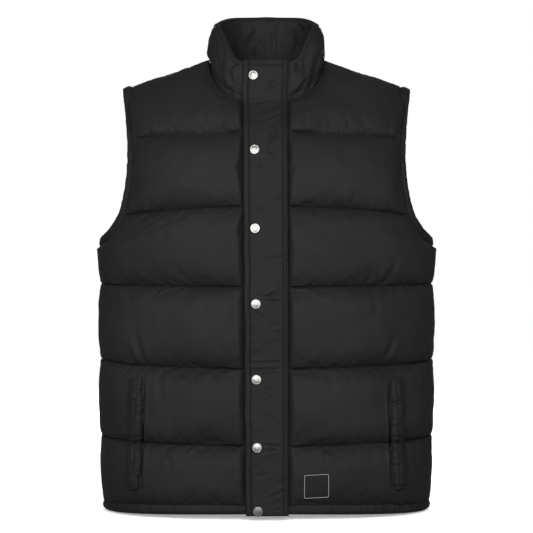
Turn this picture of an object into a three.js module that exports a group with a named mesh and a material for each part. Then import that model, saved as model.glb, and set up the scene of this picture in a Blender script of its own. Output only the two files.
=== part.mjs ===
// A quilted puffer vest with a snap placket, a stand collar and welt pockets, filled out as if worn.
// Millimetres, +Z up, the front faces -Y and +X is the wearer's left. The origin is midway between
// the two high shoulder points, where the wearer's shoulders carry the vest.
import * as THREE from "three";

const { clamp, lerp, smoothstep, radToDeg } = THREE.MathUtils;

// Driving sizes of the torso: the inside of the vest is one smooth surface.
const SECTION_POWER = 2.4; // squareness of a horizontal section, 2 is an ellipse
const SHOULDER_TOP = 31.2; // height at which the two shoulder lines would meet
const SHOULDER_SLOPE = 0.3215; // fall for each millimetre outwards
const ROLL_DROP = 150; // depth below the shoulder line over which the surface rounds over
const ROLL_POWER = 1.7;
const NAPE_LIFT = 42; // the back stays full behind the neck
const SEAM_GAP = 0.3; // between two pieces that are sewn together
const CURVED_SEAM_GAP = 0.6;
const TORSO = [
  { z: -660, halfWidth: 236.5, front: 119, back: 108 },
  { z: -560, halfWidth: 241, front: 118, back: 106 },
  { z: -445, halfWidth: 242, front: 116, back: 98 },
  { z: -330, halfWidth: 242.5, front: 118, back: 100 },
  { z: -220, halfWidth: 243, front: 115, back: 108 },
  { z: -112, halfWidth: 243, front: 99, back: 105 },
  { z: -66, halfWidth: 243, front: 84, back: 98 },
  { z: 20, halfWidth: 243, front: 74, back: 86 },
];

// Neckline: half its width at the shoulder and how far it drops to the centre front and back.
const NECK_HALF_WIDTH = 83.5;
const NECK_POWER = 2.5;
const NECK_DROP = { front: 68, back: 4 };
const NECK_DROP_POWER = 0.95;

// Finished front edge of the armhole, seen from the front, from the shoulder tip to the side seam.
const SHOULDER_TIP = 212.5;
const ARMHOLE = [
  { step: 0, x: SHOULDER_TIP, z: SHOULDER_TOP - SHOULDER_SLOPE * SHOULDER_TIP },
  { step: 1, x: 206, z: -80 },
  { step: 2, x: 201, z: -120 },
  { step: 3, x: 200, z: -155 },
  { step: 4, x: 203.5, z: -188 },
  { step: 5, x: 211, z: -219 },
  { step: 6, x: 224, z: -241 },
  { step: 7, x: 235, z: -251.5 },
  { step: 8, x: 243, z: -257.5 },
];
const BACK_ARMHOLE_FULLNESS = 5; // the back edge is cut less deep than the front edge
const ARMHOLE_BAND = { width: 15, thickness: 6.5 };
const EDGE_STEP = 0.005; // share of the armhole between two points that give its direction
const ARMPIT_END = 0.995; // share from which the band lies straight below the armpit
const TIP_TURN = 0.08; // share over which the band turns to lie along the shoulder line
const BAND_TILT = { share: 0.12, atTip: 200, below: 10 }; // upward part of the way out of the panel

// Quilting lines from the hem seam up: height at the centre front, at the side, at the centre back.
const QUILT_LINES = [
  { front: -637.5, side: -648, back: -648 },
  { front: -554, side: -545, back: -549 },
  { front: -444, side: -433, back: -438 },
  { front: -328, side: -323, back: -326 },
  { front: -214, side: -225, back: -220 },
  { front: -108, side: -114, back: -112 },
];
const LINE_RISE_POWER = 1.5; // how late a quilting line bends towards its height at the side
const TOP_CHANNEL = QUILT_LINES.length - 1;
const ARMPIT_CHANNEL = 3; // the channel whose side edge turns from the side seam into the armhole
const ARMPIT_ROW = ARMPIT_CHANNEL + 0.5;
const ARMPIT_BLEND = 0.6; // rows over which the padding changes from side seam to armhole
const CHANNEL_STEPS = [0, 0.07, 0.25, 0.5, 0.75, 0.93];
const TOP_STEP_POWER = 1.6; // rows crowd together towards the shoulder line

// Padding: thickness on the quilting lines, at each channel's crown, and how it fades at the edges.
const SEAM_THICKNESS = 4.5;
const CROWN_THICKNESS = [17, 21, 21, 21, 20, 17];
const CROWN_AT = 0.44; // share of the channel's height below its fullest point
const CROWN_ROUNDNESS = 2.3;
const EDGE_FADE = 34;
const SIDE_FADE = 90;
const TOP_FADE = 48;
const TOP_FADE_POWER = 1.25;
const EDGE_FADE_POWER = 1.6;
const SIDE_FULLNESS = 0.1; // share of the padding left at the side and shoulder seams
const UNDER_PLACKET_THICKNESS = 4;

// Columns of a front panel past the placket, and of half the back, as shares of its width.
const FRONT_COLUMNS = [
  0, 0.025, 0.065, 0.12, 0.18, 0.225, 0.255, 0.345, 0.44, 0.487, 0.534, 0.63, 0.73, 0.82, 0.9, 0.96, 1,
];
const FRONT_NECK_COLUMN = 6;
const BACK_COLUMNS = [0, 0.09, 0.175, 0.255, 0.333, 0.44, 0.55, 0.65, 0.745, 0.83, 0.91, 0.965, 1];
const BACK_NECK_COLUMN = 4;

const HEM = { bottom: { front: -650.5, side: -657.5, back: -658 }, thickness: 6.5 };
const PLACKET = {
  bottom: -652.5,
  top: 0.5,
  thickness: 6,
  edgeThickness: 3.5,
  clearance: 1.1,
  freeEdge: { bottom: -29.5, top: -34 },
  sewnEdge: { bottom: 31.2, top: 29.8 },
  flatHalfWidth: 35.5, // the fronts and collar stay flat this far from the centre, under the placket
};
const PLACKET_SHARES = [0, 0.035, 0.14, 0.32, 0.52, 0.72, 0.86, 0.965, 1];
const COLLAR = { thickness: 10.5, foot: 3.2, topRoundness: 8, underPlacket: 5, fade: 18 };
// Top edge of the collar's inner face: 0 degrees is the centre front, 180 the centre back.
const COLLAR_TOP = [
  { angle: 0, z: 0 },
  { angle: 26, z: 0.5 },
  { angle: 36, z: 8 },
  { angle: 50, z: 33 },
  { angle: 66, z: 53 },
  { angle: 90, z: 64.5 },
  { angle: 135, z: 81.5 },
  { angle: 180, z: 85.5 },
];
const COLLAR_TOP_PLAN = { halfWidth: 68, front: 68, back: 60 };
const COLLAR_STEPS = 2; // sections of the collar for each column of the panels below

const SNAP = { radius: 7.2, height: 3 };
const SNAPS = [
  { x: -18.8, z: -21.7 },
  { x: -16.8, z: -131.9 },
  { x: -16, z: -244.5 },
  { x: -15, z: -351.6 },
  { x: -14.3, z: -458.8 },
  { x: -13.2, z: -555.1 },
  { x: -12, z: -645 },
];
const WELT = {
  top: -458,
  bottom: -617,
  innerX: 177.5,
  outerX: 197.5,
  slant: 5, // the lower end lies this much further out
  thickness: 5.5,
  edgeThickness: 2,
};
const WELT_SHARES = [0, 0.18, 0.5, 0.82, 1];
const PATCH = {
  x: 70.6,
  z: -608.7,
  width: 36,
  height: 34,
  tilt: 0.045, // rise for each millimetre outwards
  thickness: 1.2,
  edgeThickness: 0.7,
};
const PATCH_SHARES = [0, 0.06, 0.35, 0.65, 0.94, 1];
const ON_PANEL_CLEARANCE = 0.8;

const shell = new THREE.MeshStandardMaterial({ color: 0x1c1c1e, roughness: 0.62, metalness: 0 });
const trim = new THREE.MeshStandardMaterial({ color: 0x19191b, roughness: 0.66, metalness: 0 });
const patchCloth = new THREE.MeshStandardMaterial({ color: 0x161617, roughness: 0.8, metalness: 0 });
const metal = new THREE.MeshStandardMaterial({ color: 0xc9c8c4, roughness: 0.35, metalness: 1 });

const vest = new THREE.Group();

function add(name, geometry, material) {
  const mesh = new THREE.Mesh(geometry, material);
  mesh.name = name;
  vest.add(mesh);
  return mesh;
}

// Smooth curve through a table's rows, which are sorted by rising key.
function smooth(table, key, column, at) {
  const last = table.length - 1;
  let i = 0;
  while (i < last - 1 && at > table[i + 1][key]) i++;
  const slope = (a, b) => (table[b][column] - table[a][column]) / (table[b][key] - table[a][key]);
  const span = table[i + 1][key] - table[i][key];
  const s = clamp((at - table[i][key]) / span, 0, 1);
  const slopeIn = i > 0 ? slope(i - 1, i + 1) : slope(i, i + 1);
  const slopeOut = i + 1 < last ? slope(i, i + 2) : slope(i, i + 1);
  const h = s * s * (3 - 2 * s);
  return (
    lerp(table[i][column], table[i + 1][column], h) +
    span * s * (1 - s) * ((1 - s) * slopeIn - s * slopeOut)
  );
}

function bisect(low, high, tooLow) {
  for (let i = 0; i < 50; i++) {
    const middle = (low + high) / 2;
    if (tooLow(middle)) low = middle;
    else high = middle;
  }
  return (low + high) / 2;
}

const point = (x, y, z) => new THREE.Vector3(x, y, z);
const between = (a, b, s) => a.clone().lerp(b, s);
const moved = (p, direction, distance) => p.clone().addScaledVector(direction, distance);
const mirrored = (p) => point(-p.x, p.y, p.z);

// Height of the shoulder line above a place x, where the front and back surfaces meet.
function ridge(x, side) {
  const inNeck = clamp(1 - (x / NECK_HALF_WIDTH) ** 2, 0, 1);
  return SHOULDER_TOP - SHOULDER_SLOPE * Math.abs(x) + (side === "back" ? NAPE_LIFT * inNeck ** 1.5 : 0);
}

const rounded = (s, power) => (1 - (1 - clamp(s, 0, 1)) ** power) ** (1 / power);

// Distance of the inner surface from the side plane, at a place x and height z.
function reach(x, z, side) {
  const halfWidth = smooth(TORSO, "z", "halfWidth", z);
  const across = (1 - clamp(Math.abs(x) / halfWidth, 0, 1) ** SECTION_POWER) ** (1 / SECTION_POWER);
  return smooth(TORSO, "z", side, z) * across * rounded((ridge(x, side) - z) / ROLL_DROP, ROLL_POWER);
}

function onTorso(x, z, side) {
  const facing = side === "front" ? -1 : 1;
  return point(x, facing * (reach(x, z, side) + SEAM_GAP / 2), z);
}

// Direction out of the body at a point of the inner surface.
function torsoNormal({ x, z }, side) {
  const step = 1;
  const acrossSlope = (reach(x + step, z, side) - reach(x - step, z, side)) / (2 * step);
  const upSlope = (reach(x, z + step, side) - reach(x, z - step, side)) / (2 * step);
  return point(-acrossSlope, side === "front" ? -1 : 1, -upSlope).normalize();
}

// A section's angle at x: 0 at the centre line and a right angle at the side seam.
function angleAt(x, z) {
  return Math.asin(clamp(x / smooth(TORSO, "z", "halfWidth", z), 0, 1) ** (SECTION_POWER / 2));
}

function xAtAngle(angle, z) {
  return smooth(TORSO, "z", "halfWidth", z) * Math.sin(angle) ** (2 / SECTION_POWER);
}

// A point of the neckline: angle 0 is the centre line and a right angle the high shoulder point.
function neckline(angle, side) {
  const x = NECK_HALF_WIDTH * Math.sin(angle) ** (2 / NECK_POWER);
  const drop = NECK_DROP[side] * Math.max(Math.cos(angle), 0) ** NECK_DROP_POWER;
  return onTorso(x, ridge(NECK_HALF_WIDTH, side) - drop, side);
}

function armholeEdge(share, side) {
  const step = share * (ARMHOLE.length - 1);
  const fuller = side === "back" ? BACK_ARMHOLE_FULLNESS * Math.sin(Math.PI * share) ** 2 : 0;
  const z = smooth(ARMHOLE, "step", "z", step);
  const x = Math.min(smooth(ARMHOLE, "step", "x", step) + fuller, smooth(TORSO, "z", "halfWidth", z));
  return onTorso(x, z, side);
}

// The panel's own edge beside the armhole: the finished edge moved in by the width of the band.
function armholePanelEdge(share, side) {
  const here = armholeEdge(share, side);
  const width = ARMHOLE_BAND.width + SEAM_GAP;
  if (share > ARMPIT_END) return onTorso(here.x, here.z - width, side);
  const behind = armholeEdge(Math.max(share - EDGE_STEP, 0), side);
  const along = armholeEdge(share + EDGE_STEP, side).sub(behind);
  const facing = side === "front" ? -1 : 1;
  const rise = lerp(BAND_TILT.atTip, BAND_TILT.below, smoothstep(share, 0, BAND_TILT.share));
  const outward = point(here.x / 2, facing * Math.abs(here.y), rise);
  const alongShoulder = point(-1, 0, SHOULDER_SLOPE).normalize();
  const inward = along.cross(outward).multiplyScalar(-facing).normalize();
  inward.lerpVectors(alongShoulder, inward.clone(), smoothstep(share, 0, TIP_TURN)).normalize();
  const x = Math.min(here.x + inward.x * width, smooth(TORSO, "z", "halfWidth", here.z + inward.z * width));
  return onTorso(x, here.z + inward.z * width, side);
}

// Share of the armhole at which the panel's edge crosses a height.
function armholeShareAt(z, side) {
  return bisect(0, 1, (share) => armholePanelEdge(share, side).z > z);
}

// Share of the armhole at which row v ends, for rows above the armpit.
function armholeShareOfRow(v, side) {
  const channel = Math.min(Math.floor(v), TOP_CHANNEL);
  const s = v - channel;
  const from = channel === ARMPIT_CHANNEL ? 1 : armholeShareAt(QUILT_LINES[channel].side, side);
  const to = channel === TOP_CHANNEL ? 0 : armholeShareAt(QUILT_LINES[channel + 1].side, side);
  return lerp(from, to, channel === ARMPIT_CHANNEL ? 2 * s - 1 : s);
}

// The panel's side edge at row v: on the side seam up to the armpit, then along the armhole.
function sideEdge(v, side) {
  if (v > ARMPIT_ROW) return armholePanelEdge(armholeShareOfRow(v, side), side);
  const channel = Math.floor(v);
  const s = v - channel;
  const low = QUILT_LINES[channel].side;
  const top = channel === ARMPIT_CHANNEL ? armholePanelEdge(1, side).z : QUILT_LINES[channel + 1].side;
  const z = lerp(low, top, channel === ARMPIT_CHANNEL ? 2 * s : s);
  return onTorso(smooth(TORSO, "z", "halfWidth", z), z, side);
}

// Rows of a panel, counted in quilting lines from the hem. They crowd together at the shoulder.
const ROWS = [];
for (let channel = 0; channel < QUILT_LINES.length; channel++)
  for (const step of CHANNEL_STEPS)
    ROWS.push(channel + (channel === TOP_CHANNEL ? 1 - (1 - step) ** TOP_STEP_POWER : step));
ROWS.push(QUILT_LINES.length);

// Inner points of half a panel, row by row from the hem, column by column from the centre line.
function halfPanel(side) {
  const isFront = side === "front";
  const shares = isFront ? FRONT_COLUMNS : BACK_COLUMNS;
  const neckColumn = isFront ? FRONT_NECK_COLUMN : BACK_NECK_COLUMN;
  const firstX = isFront ? PLACKET.flatHalfWidth : 0;
  const neckStart = Math.asin((firstX / NECK_HALF_WIDTH) ** (NECK_POWER / 2));
  const topEdge = sideEdge(QUILT_LINES.length, side);

  function onRow(v, share) {
    const channel = Math.floor(v);
    const centre = lerp(QUILT_LINES[channel][side], QUILT_LINES[channel + 1]?.[side] ?? 0, v - channel);
    const edge = sideEdge(v, side);
    const angle = lerp(angleAt(firstX, centre), angleAt(edge.x, edge.z), share);
    const z = lerp(centre, edge.z, share ** LINE_RISE_POWER);
    return onTorso(Math.min(xAtAngle(angle, z), edge.x), z, side);
  }

  function onTop(column) {
    const share = shares[column];
    if (column <= neckColumn) {
      const s = share / shares[neckColumn];
      return neckline(lerp(neckStart, Math.PI / 2, s), side);
    }
    const s = (share - shares[neckColumn]) / (1 - shares[neckColumn]);
    const x = lerp(NECK_HALF_WIDTH, topEdge.x, s);
    return onTorso(x, ridge(x, side), side);
  }

  return ROWS.map((v) => {
    const row = shares.map((share, column) => {
      if (share === 1) return sideEdge(v, side);
      if (v <= TOP_CHANNEL) return onRow(v, share);
      const low = onRow(TOP_CHANNEL, share);
      const high = onTop(column);
      return onTorso(lerp(low.x, high.x, v - TOP_CHANNEL), lerp(low.z, high.z, v - TOP_CHANNEL), side);
    });
    if (isFront) row.unshift(onTorso(SEAM_GAP / 2, row[0].z, side));
    return row;
  });
}

// Unit normals of a grid of points, facing away from the body.
function gridNormals(grid) {
  const last = { row: grid.length - 1, column: grid[0].length - 1 };
  return grid.map((row, i) =>
    row.map((_, j) => {
      const up = grid[Math.min(i + 1, last.row)][j].clone().sub(grid[Math.max(i - 1, 0)][j]);
      const across = row[Math.min(j + 1, last.column)].clone().sub(row[Math.max(j - 1, 0)]);
      return across.cross(up).normalize();
    }),
  );
}

// Share of the full padding at a height s within a channel, 0 on both quilting lines.
function crown(s) {
  const distance = s < CROWN_AT ? (CROWN_AT - s) / CROWN_AT : (s - CROWN_AT) / (1 - CROWN_AT);
  return (1 - distance ** CROWN_ROUNDNESS) ** (1 / CROWN_ROUNDNESS);
}

function distanceToPolyline(p, line) {
  const closest = point(0, 0, 0);
  const distances = line.slice(1).map((end, i) => {
    new THREE.Line3(line[i], end).closestPointToPoint(p, true, closest);
    return closest.distanceTo(p);
  });
  return Math.min(...distances);
}

// Padding of half a panel at each grid point.
function padding(grid, side) {
  return grid.map((row, i) => {
    const channel = Math.min(Math.floor(ROWS[i]), TOP_CHANNEL);
    const byArmhole = clamp((ROWS[i] - ARMPIT_ROW) / ARMPIT_BLEND, 0, 1);
    const inTop = channel === TOP_CHANNEL && ROWS[i] - channel > CROWN_AT;
    const full = CROWN_THICKNESS[channel] - SEAM_THICKNESS;
    return row.map((p, j) => {
      if (side === "front" && j <= 1) return UNDER_PLACKET_THICKNESS;
      const toTop = rounded(distanceToPolyline(p, grid.at(-1)) / TOP_FADE, TOP_FADE_POWER);
      const toLines = inTop ? toTop : crown(ROWS[i] - channel);
      const toEdge = p.distanceTo(row.at(-1));
      const bySeam = smoothstep(toEdge, 0, SIDE_FADE);
      const toSide = lerp(bySeam, rounded(toEdge / EDGE_FADE, EDGE_FADE_POWER), byArmhole);
      const toCentre = side === "front" ? rounded(p.distanceTo(row[1]) / EDGE_FADE, 2) : 1;
      const share = lerp(SIDE_FULLNESS, 1, toSide) * toCentre * toLines;
      const atCentre = side === "front" ? UNDER_PLACKET_THICKNESS : SEAM_THICKNESS;
      const under = lerp(atCentre, SEAM_THICKNESS, toCentre);
      return under + full * share;
    });
  });
}

// Seams that lie in a plane of the body keep the panel's edge faces in that plane.
function squareEdges(normals, side) {
  const sideRows = ROWS.findIndex((v) => v > ARMPIT_ROW);
  normals.forEach((row, i) => {
    if (i < sideRows) row[row.length - 1].setY(0).normalize();
    row[0].setX(0).normalize();
  });
  const neckColumn = side === "front" ? FRONT_NECK_COLUMN + 1 : BACK_NECK_COLUMN;
  normals[normals.length - 1].forEach((n, j) => j >= neckColumn && n.setY(0).normalize());
  normals[0].forEach((n) => n.setZ(0).normalize());
  return normals;
}

// A closed skin over two grids with the same columns. The inner grid may leave out rows.
function closedShell(outer, inner, outerKeys, innerKeys) {
  const positions = [];
  const push = (p) => positions.push(p.x, p.y, p.z) / 3 - 1;
  const outside = outer.map((row) => row.map(push));
  const inside = inner.map((row) => row.map(push));
  const triangles = [];
  const quads = (grid, flip) => {
    for (let i = 0; i + 1 < grid.length; i++)
      for (let j = 0; j + 1 < grid[0].length; j++) {
        const [a, b, c, d] = [grid[i][j], grid[i][j + 1], grid[i + 1][j + 1], grid[i + 1][j]];
        triangles.push(...(flip ? [a, c, b, a, d, c] : [a, b, c, a, c, d]));
      }
  };
  // Joins two polylines whose ends correspond, advancing whichever key is behind.
  const join = (a, b, aKeys, bKeys) => {
    let i = 0;
    let j = 0;
    while (i + 1 < a.length || j + 1 < b.length) {
      const advanceA = j + 1 >= b.length || (i + 1 < a.length && aKeys[i + 1] <= bKeys[j + 1]);
      if (advanceA) triangles.push(a[i], a[++i], b[j]);
      else triangles.push(a[i], b[j + 1], b[j++]);
    }
  };
  quads(outside, false);
  quads(inside, true);
  const columnKeys = outer[0].map((_, j) => j);
  const column = (grid, j) => grid.map((row) => row[j]);
  const reversed = (list) => [...list].reverse();
  const negated = (list) => reversed(list).map((k) => -k);
  const lastColumn = outer[0].length - 1;
  join(reversed(outside[0]), reversed(inside[0]), negated(columnKeys), negated(columnKeys));
  join(outside.at(-1), inside.at(-1), columnKeys, columnKeys);
  join(column(outside, 0), column(inside, 0), outerKeys, innerKeys);
  join(
    reversed(column(outside, lastColumn)),
    reversed(column(inside, lastColumn)),
    negated(outerKeys),
    negated(innerKeys),
  );
  return indexed(positions, triangles);
}

function indexed(positions, triangles) {
  const geometry = new THREE.BufferGeometry();
  geometry.setAttribute("position", new THREE.Float32BufferAttribute(positions, 3));
  geometry.setIndex(triangles);
  geometry.computeVertexNormals();
  return geometry;
}

// A solid swept through rings of points: a tube that closes on itself, or one with flat ends.
function sweptSolid(rings, closes) {
  const positions = rings.flat().flatMap((p) => [p.x, p.y, p.z]);
  const size = rings[0].length;
  const triangles = [];
  const count = closes ? rings.length : rings.length - 1;
  for (let i = 0; i < count; i++)
    for (let k = 0; k < size; k++) {
      const [a, b] = [i * size + k, i * size + ((k + 1) % size)];
      const next = ((i + 1) % rings.length) * size;
      const [c, d] = [next + ((k + 1) % size), next + k];
      triangles.push(a, b, d, b, c, d);
    }
  if (!closes) {
    const last = (rings.length - 1) * size;
    for (let k = 1; k + 1 < size; k++) triangles.push(0, k + 1, k, last, last + k, last + k + 1);
  }
  return indexed(positions, triangles);
}

// Fronts and back
const half = {};
for (const side of ["front", "back"]) {
  const inner = halfPanel(side);
  const normals = inner.map((row) => row.map((p) => torsoNormal(p, side)));
  squareEdges(normals, side);
  const thickness = padding(inner, side);
  const outer = inner.map((row, i) => row.map((p, j) => moved(p, normals[i][j], thickness[i][j])));
  half[side] = { inner, normals, outer };
}
// Below the armholes the plain inside needs only the rows on the quilting lines and crowns.
const innerRows = ROWS.map((_, i) => i).filter((i) => ROWS[i] >= ARMPIT_CHANNEL || (2 * ROWS[i]) % 1 === 0);
const innerKeys = innerRows.map((i) => ROWS[i]);
const picked = (grid) => innerRows.map((i) => grid[i]);
const flipped = (grid) => grid.map((row) => row.map(mirrored).reverse());

add("front_left", closedShell(half.front.outer, picked(half.front.inner), ROWS, innerKeys), shell);
add(
  "front_right",
  closedShell(flipped(half.front.outer), flipped(picked(half.front.inner)), ROWS, innerKeys),
  shell,
);
// Seen from behind, a row of the back runs from the wearer's left side seam to the right one.
const wholeBack = (grid) => grid.map((row) => [...[...row].reverse(), ...row.slice(1).map(mirrored)]);
add(
  "back",
  closedShell(wholeBack(half.back.outer), wholeBack(picked(half.back.inner)), ROWS, innerKeys),
  shell,
);

// Armhole bands: a closed ring from the shoulder tip down the front edge and up the back edge.
function armholeRing() {
  const armpit = ROWS.findIndex((v) => v >= ARMPIT_ROW);
  const stations = [];
  const addStation = (row, side) => {
    const sewn = half[side].inner[row].at(-1).clone();
    const edge = armholeEdge(ROWS[row] > ARMPIT_ROW ? armholeShareOfRow(ROWS[row], side) : 1, side);
    if (row === armpit || row === ROWS.length - 1) sewn.y = edge.y = 0;
    stations.push({ sewn, edge, normal: half[side].normals[row].at(-1) });
  };
  for (let row = ROWS.length - 1; row >= armpit; row--) addStation(row, "front");
  for (let row = armpit + 1; row < ROWS.length - 1; row++) addStation(row, "back");
  const t = ARMHOLE_BAND.thickness;
  return stations.map(({ sewn, edge, normal }, i) => {
    const before = stations.at(i - 1).sewn;
    const after = stations[(i + 1) % stations.length].sewn;
    const outward = after.clone().sub(before).cross(normal).normalize();
    if (outward.dot(edge.clone().sub(sewn)) < 0) outward.negate();
    const start = moved(sewn, outward, CURVED_SEAM_GAP);
    const at = (share, height) => moved(between(start, edge, share), normal, height);
    return [
      at(0, t * 0.45),
      at(0.25, t),
      at(0.6, t),
      at(1, t * 0.85),
      at(1.1, t * 0.45),
      at(1, 0),
      at(0, 0),
    ];
  });
}

const leftRing = armholeRing();
add("armhole_band_left", sweptSolid(leftRing.map((ring) => [...ring].reverse()), true), trim);
add("armhole_band_right", sweptSolid(leftRing.map((ring) => ring.map(mirrored)), true), trim);

// Hem band: from the centre front round the back to the centre front again.
function hemRings() {
  const edge = (side) =>
    half[side].inner[0].map((p, j) => {
      const share = clamp(p.x / half[side].inner[0].at(-1).x, 0, 1) ** 2;
      const bottom = lerp(HEM.bottom[side], HEM.bottom.side, share);
      return { p, normal: half[side].normals[0][j], bottom };
    });
  const left = [...edge("front"), ...edge("back").slice(0, -1).reverse()];
  const corner = left[half.front.inner[0].length - 1];
  corner.p = corner.p.clone().setY(0);
  const right = left.slice(0, -1).reverse();
  const turned = right.map(({ p, normal, bottom }) => ({
    p: mirrored(p),
    normal: mirrored(normal),
    bottom,
  }));
  return [...left, ...turned].map(({ p, normal, bottom }) => {
    const flat = Math.abs(p.x) <= PLACKET.flatHalfWidth + 0.01 && p.y < 0;
    const t = flat ? UNDER_PLACKET_THICKNESS : HEM.thickness;
    const top = p.z - SEAM_GAP;
    const at = (out, share) => moved(p, normal, t * out).setZ(lerp(top, bottom, share));
    return [at(0, 0), at(0.7, 0), at(1, 0.3), at(0.95, 0.7), at(0.4, 1), at(0, 1)];
  });
}
add("hem_band", sweptSolid(hemRings(), false), trim);

// Collar: sections round the neck. Each stands on the panels' neckline and has a rounded top.
function collarStations() {
  const front = half.front.inner.at(-1).slice(0, FRONT_NECK_COLUMN + 2);
  const back = half.back.inner.at(-1).slice(0, BACK_NECK_COLUMN).reverse();
  front.push(front.pop().clone().setY(0));
  const backNormals = half.back.normals.at(-1).slice(0, BACK_NECK_COLUMN).reverse();
  const sewn = front.map((p, j) => ({ p, normal: half.front.normals.at(-1)[j] }));
  back.forEach((p, j) => sewn.push({ p, normal: backNormals[j] }));
  const stations = [];
  sewn.slice(1).forEach((next, i) => {
    for (let k = 0; k < COLLAR_STEPS; k++)
      stations.push({
        p: between(sewn[i].p, next.p, k / COLLAR_STEPS),
        normal: between(sewn[i].normal, next.normal, k / COLLAR_STEPS).normalize(),
      });
  });
  stations.push(sewn.at(-1));
  return stations;
}

// Top of the collar's inner face above a place on the neckline.
function collarTop(p) {
  const side = p.y < 0 ? "front" : "back";
  const sine = clamp(p.x / NECK_HALF_WIDTH, 0, 1) ** (NECK_POWER / 2);
  const angle = side === "front" ? Math.asin(sine) : Math.PI - Math.asin(sine);
  const facing = side === "front" ? -1 : 1;
  return point(
    Math.min(COLLAR_TOP_PLAN.halfWidth * sine ** (2 / NECK_POWER), p.x),
    facing * COLLAR_TOP_PLAN[side] * Math.abs(Math.cos(angle)) ** (2 / NECK_POWER),
    smooth(COLLAR_TOP, "angle", "z", radToDeg(angle)),
  );
}

// Points of a collar section: the foot, then up the outside and down the inside.
function collarRing({ p, normal }, i, stations) {
  const before = stations[Math.max(i - 1, 0)].p;
  const along = stations[Math.min(i + 1, stations.length - 1)].p.clone().sub(before);
  if (i === 0 || i === stations.length - 1) along.set(i === 0 ? 1 : -1, 0, 0);
  const intoNeck = normal.clone().cross(along).normalize();
  const base = moved(p, intoNeck, CURVED_SEAM_GAP);
  const rise = collarTop(p).sub(base);
  const outward = along.cross(rise).normalize();
  const inFront = p.y < 0;
  const flat = inFront && p.x <= PLACKET.flatHalfWidth + 0.01;
  const fullness = inFront ? rounded((p.x - PLACKET.flatHalfWidth) / COLLAR.fade, 2) : 1;
  const t = lerp(COLLAR.underPlacket, COLLAR.thickness, fullness);
  const foot = flat ? UNDER_PLACKET_THICKNESS : COLLAR.foot;
  const cap = COLLAR.topRoundness / rise.length();
  const at = (share, out) => moved(moved(base, rise, share), outward, out);
  return [
    base,
    moved(base, normal, foot),
    at(0.14, lerp(foot, t, 0.12)),
    at(0.3, lerp(foot, t, 0.75)),
    at(0.55, t),
    at(0.8, flat ? t : t * 0.94),
    at(1 - cap * 0.35, t * 0.8),
    at(1, t * 0.45),
    at(1 - cap * 0.35, t * 0.12),
    at(1 - cap, 0),
    at(0.5, 0),
  ];
}
const leftCollar = collarStations().map(collarRing);
const rightCollar = leftCollar.slice(0, -1).map((ring) => ring.map(mirrored)).reverse();
add("collar", sweptSolid([...leftCollar, ...rightCollar].reverse(), false), shell);

// Places on a grid of points whose x rises along each row.
function acrossRow(row, x) {
  let j = 0;
  while (j + 2 < row.length && x > row[j + 1].x) j++;
  return between(row[j], row[j + 1], clamp((x - row[j].x) / (row[j + 1].x - row[j].x), 0, 1));
}

function onGrid(grid, x, z) {
  let i = 0;
  while (i + 2 < grid.length && acrossRow(grid[i + 1], x).z < z) i++;
  const low = acrossRow(grid[i], x);
  const high = acrossRow(grid[i + 1], x);
  return between(low, high, clamp((z - low.z) / (high.z - low.z), 0, 1));
}

// A flat piece over a grid of points: it is moved out along the normals and its rim is thinner.
function shellOver(base, clearance, thickness, edgeThickness) {
  const normals = gridNormals(base);
  const inner = base.map((row, i) => row.map((p, j) => moved(p, normals[i][j], clearance)));
  const outer = inner.map((row, i) =>
    row.map((p, j) => {
      const edge = i === 0 || j === 0 || i === inner.length - 1 || j === row.length - 1;
      return moved(p, normals[i][j], edge ? edgeThickness : thickness);
    }),
  );
  const keys = inner.map((_, i) => i);
  return { outer, geometry: closedShell(outer, inner, keys, keys) };
}

// Placket: a strip over both front edges, the front of the collar and the ends of the hem band.
function underPlacket() {
  const panel = half.front.outer.map((row) => [row[0], between(row[0], row[1], 0.5), row[1]]);
  const hem = [0, 6].map((up) => panel[0].map((p) => p.clone().setZ(HEM.bottom.front + up)));
  const body = panel.filter((row) => row[0].z < panel.at(-1)[0].z - 5);
  const collar = [2, 3, 4, 5].map((k) => leftCollar.slice(0, 3).map((ring) => ring[k]));
  return [...hem, ...body, ...collar].map((row) => [...row.map(mirrored).reverse(), ...row]);
}

function placketX(share, z) {
  const s = clamp((z - PLACKET.bottom) / -PLACKET.bottom, 0, 1);
  const from = lerp(PLACKET.freeEdge.bottom, PLACKET.freeEdge.top, s);
  const to = lerp(PLACKET.sewnEdge.bottom, PLACKET.sewnEdge.top, s);
  return lerp(from, to, share);
}

const underneath = underPlacket();
const placketHeights = [PLACKET.bottom, ...underneath.slice(1).map((row) => row[1].z), PLACKET.top];
const placket = shellOver(
  placketHeights.map((z) =>
    PLACKET_SHARES.map((share) => {
      const x = placketX(share, z);
      return point(x, onGrid(underneath, x, z).y, z);
    }),
  ),
  PLACKET.clearance,
  PLACKET.thickness,
  PLACKET.edgeThickness,
);
add("placket", placket.geometry, trim);

// Snap caps on the placket, near its free edge.
SNAPS.forEach(({ x, z }, i) => {
  const reachOut = 4;
  const seat = onGrid(placket.outer, x, z);
  const right = onGrid(placket.outer, x + reachOut, z).sub(onGrid(placket.outer, x - reachOut, z));
  const up = onGrid(placket.outer, x, z + reachOut).sub(onGrid(placket.outer, x, z - reachOut));
  const normal = right.cross(up).normalize();
  const profile = [
    [0, 0],
    [SNAP.radius - 1, 0],
    [SNAP.radius, 0.9],
    [SNAP.radius - 0.4, 1.9],
    [SNAP.radius - 1.9, 2.7],
    [SNAP.radius * 0.4, SNAP.height],
    [0, SNAP.height],
  ].map(([r, h]) => new THREE.Vector2(r, h));
  const cap = add(`snap_cap_${i + 1}`, new THREE.LatheGeometry(profile, 20), metal);
  cap.position.copy(moved(seat, normal, ON_PANEL_CLEARANCE));
  cap.quaternion.setFromUnitVectors(point(0, 1, 0), normal);
});

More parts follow.
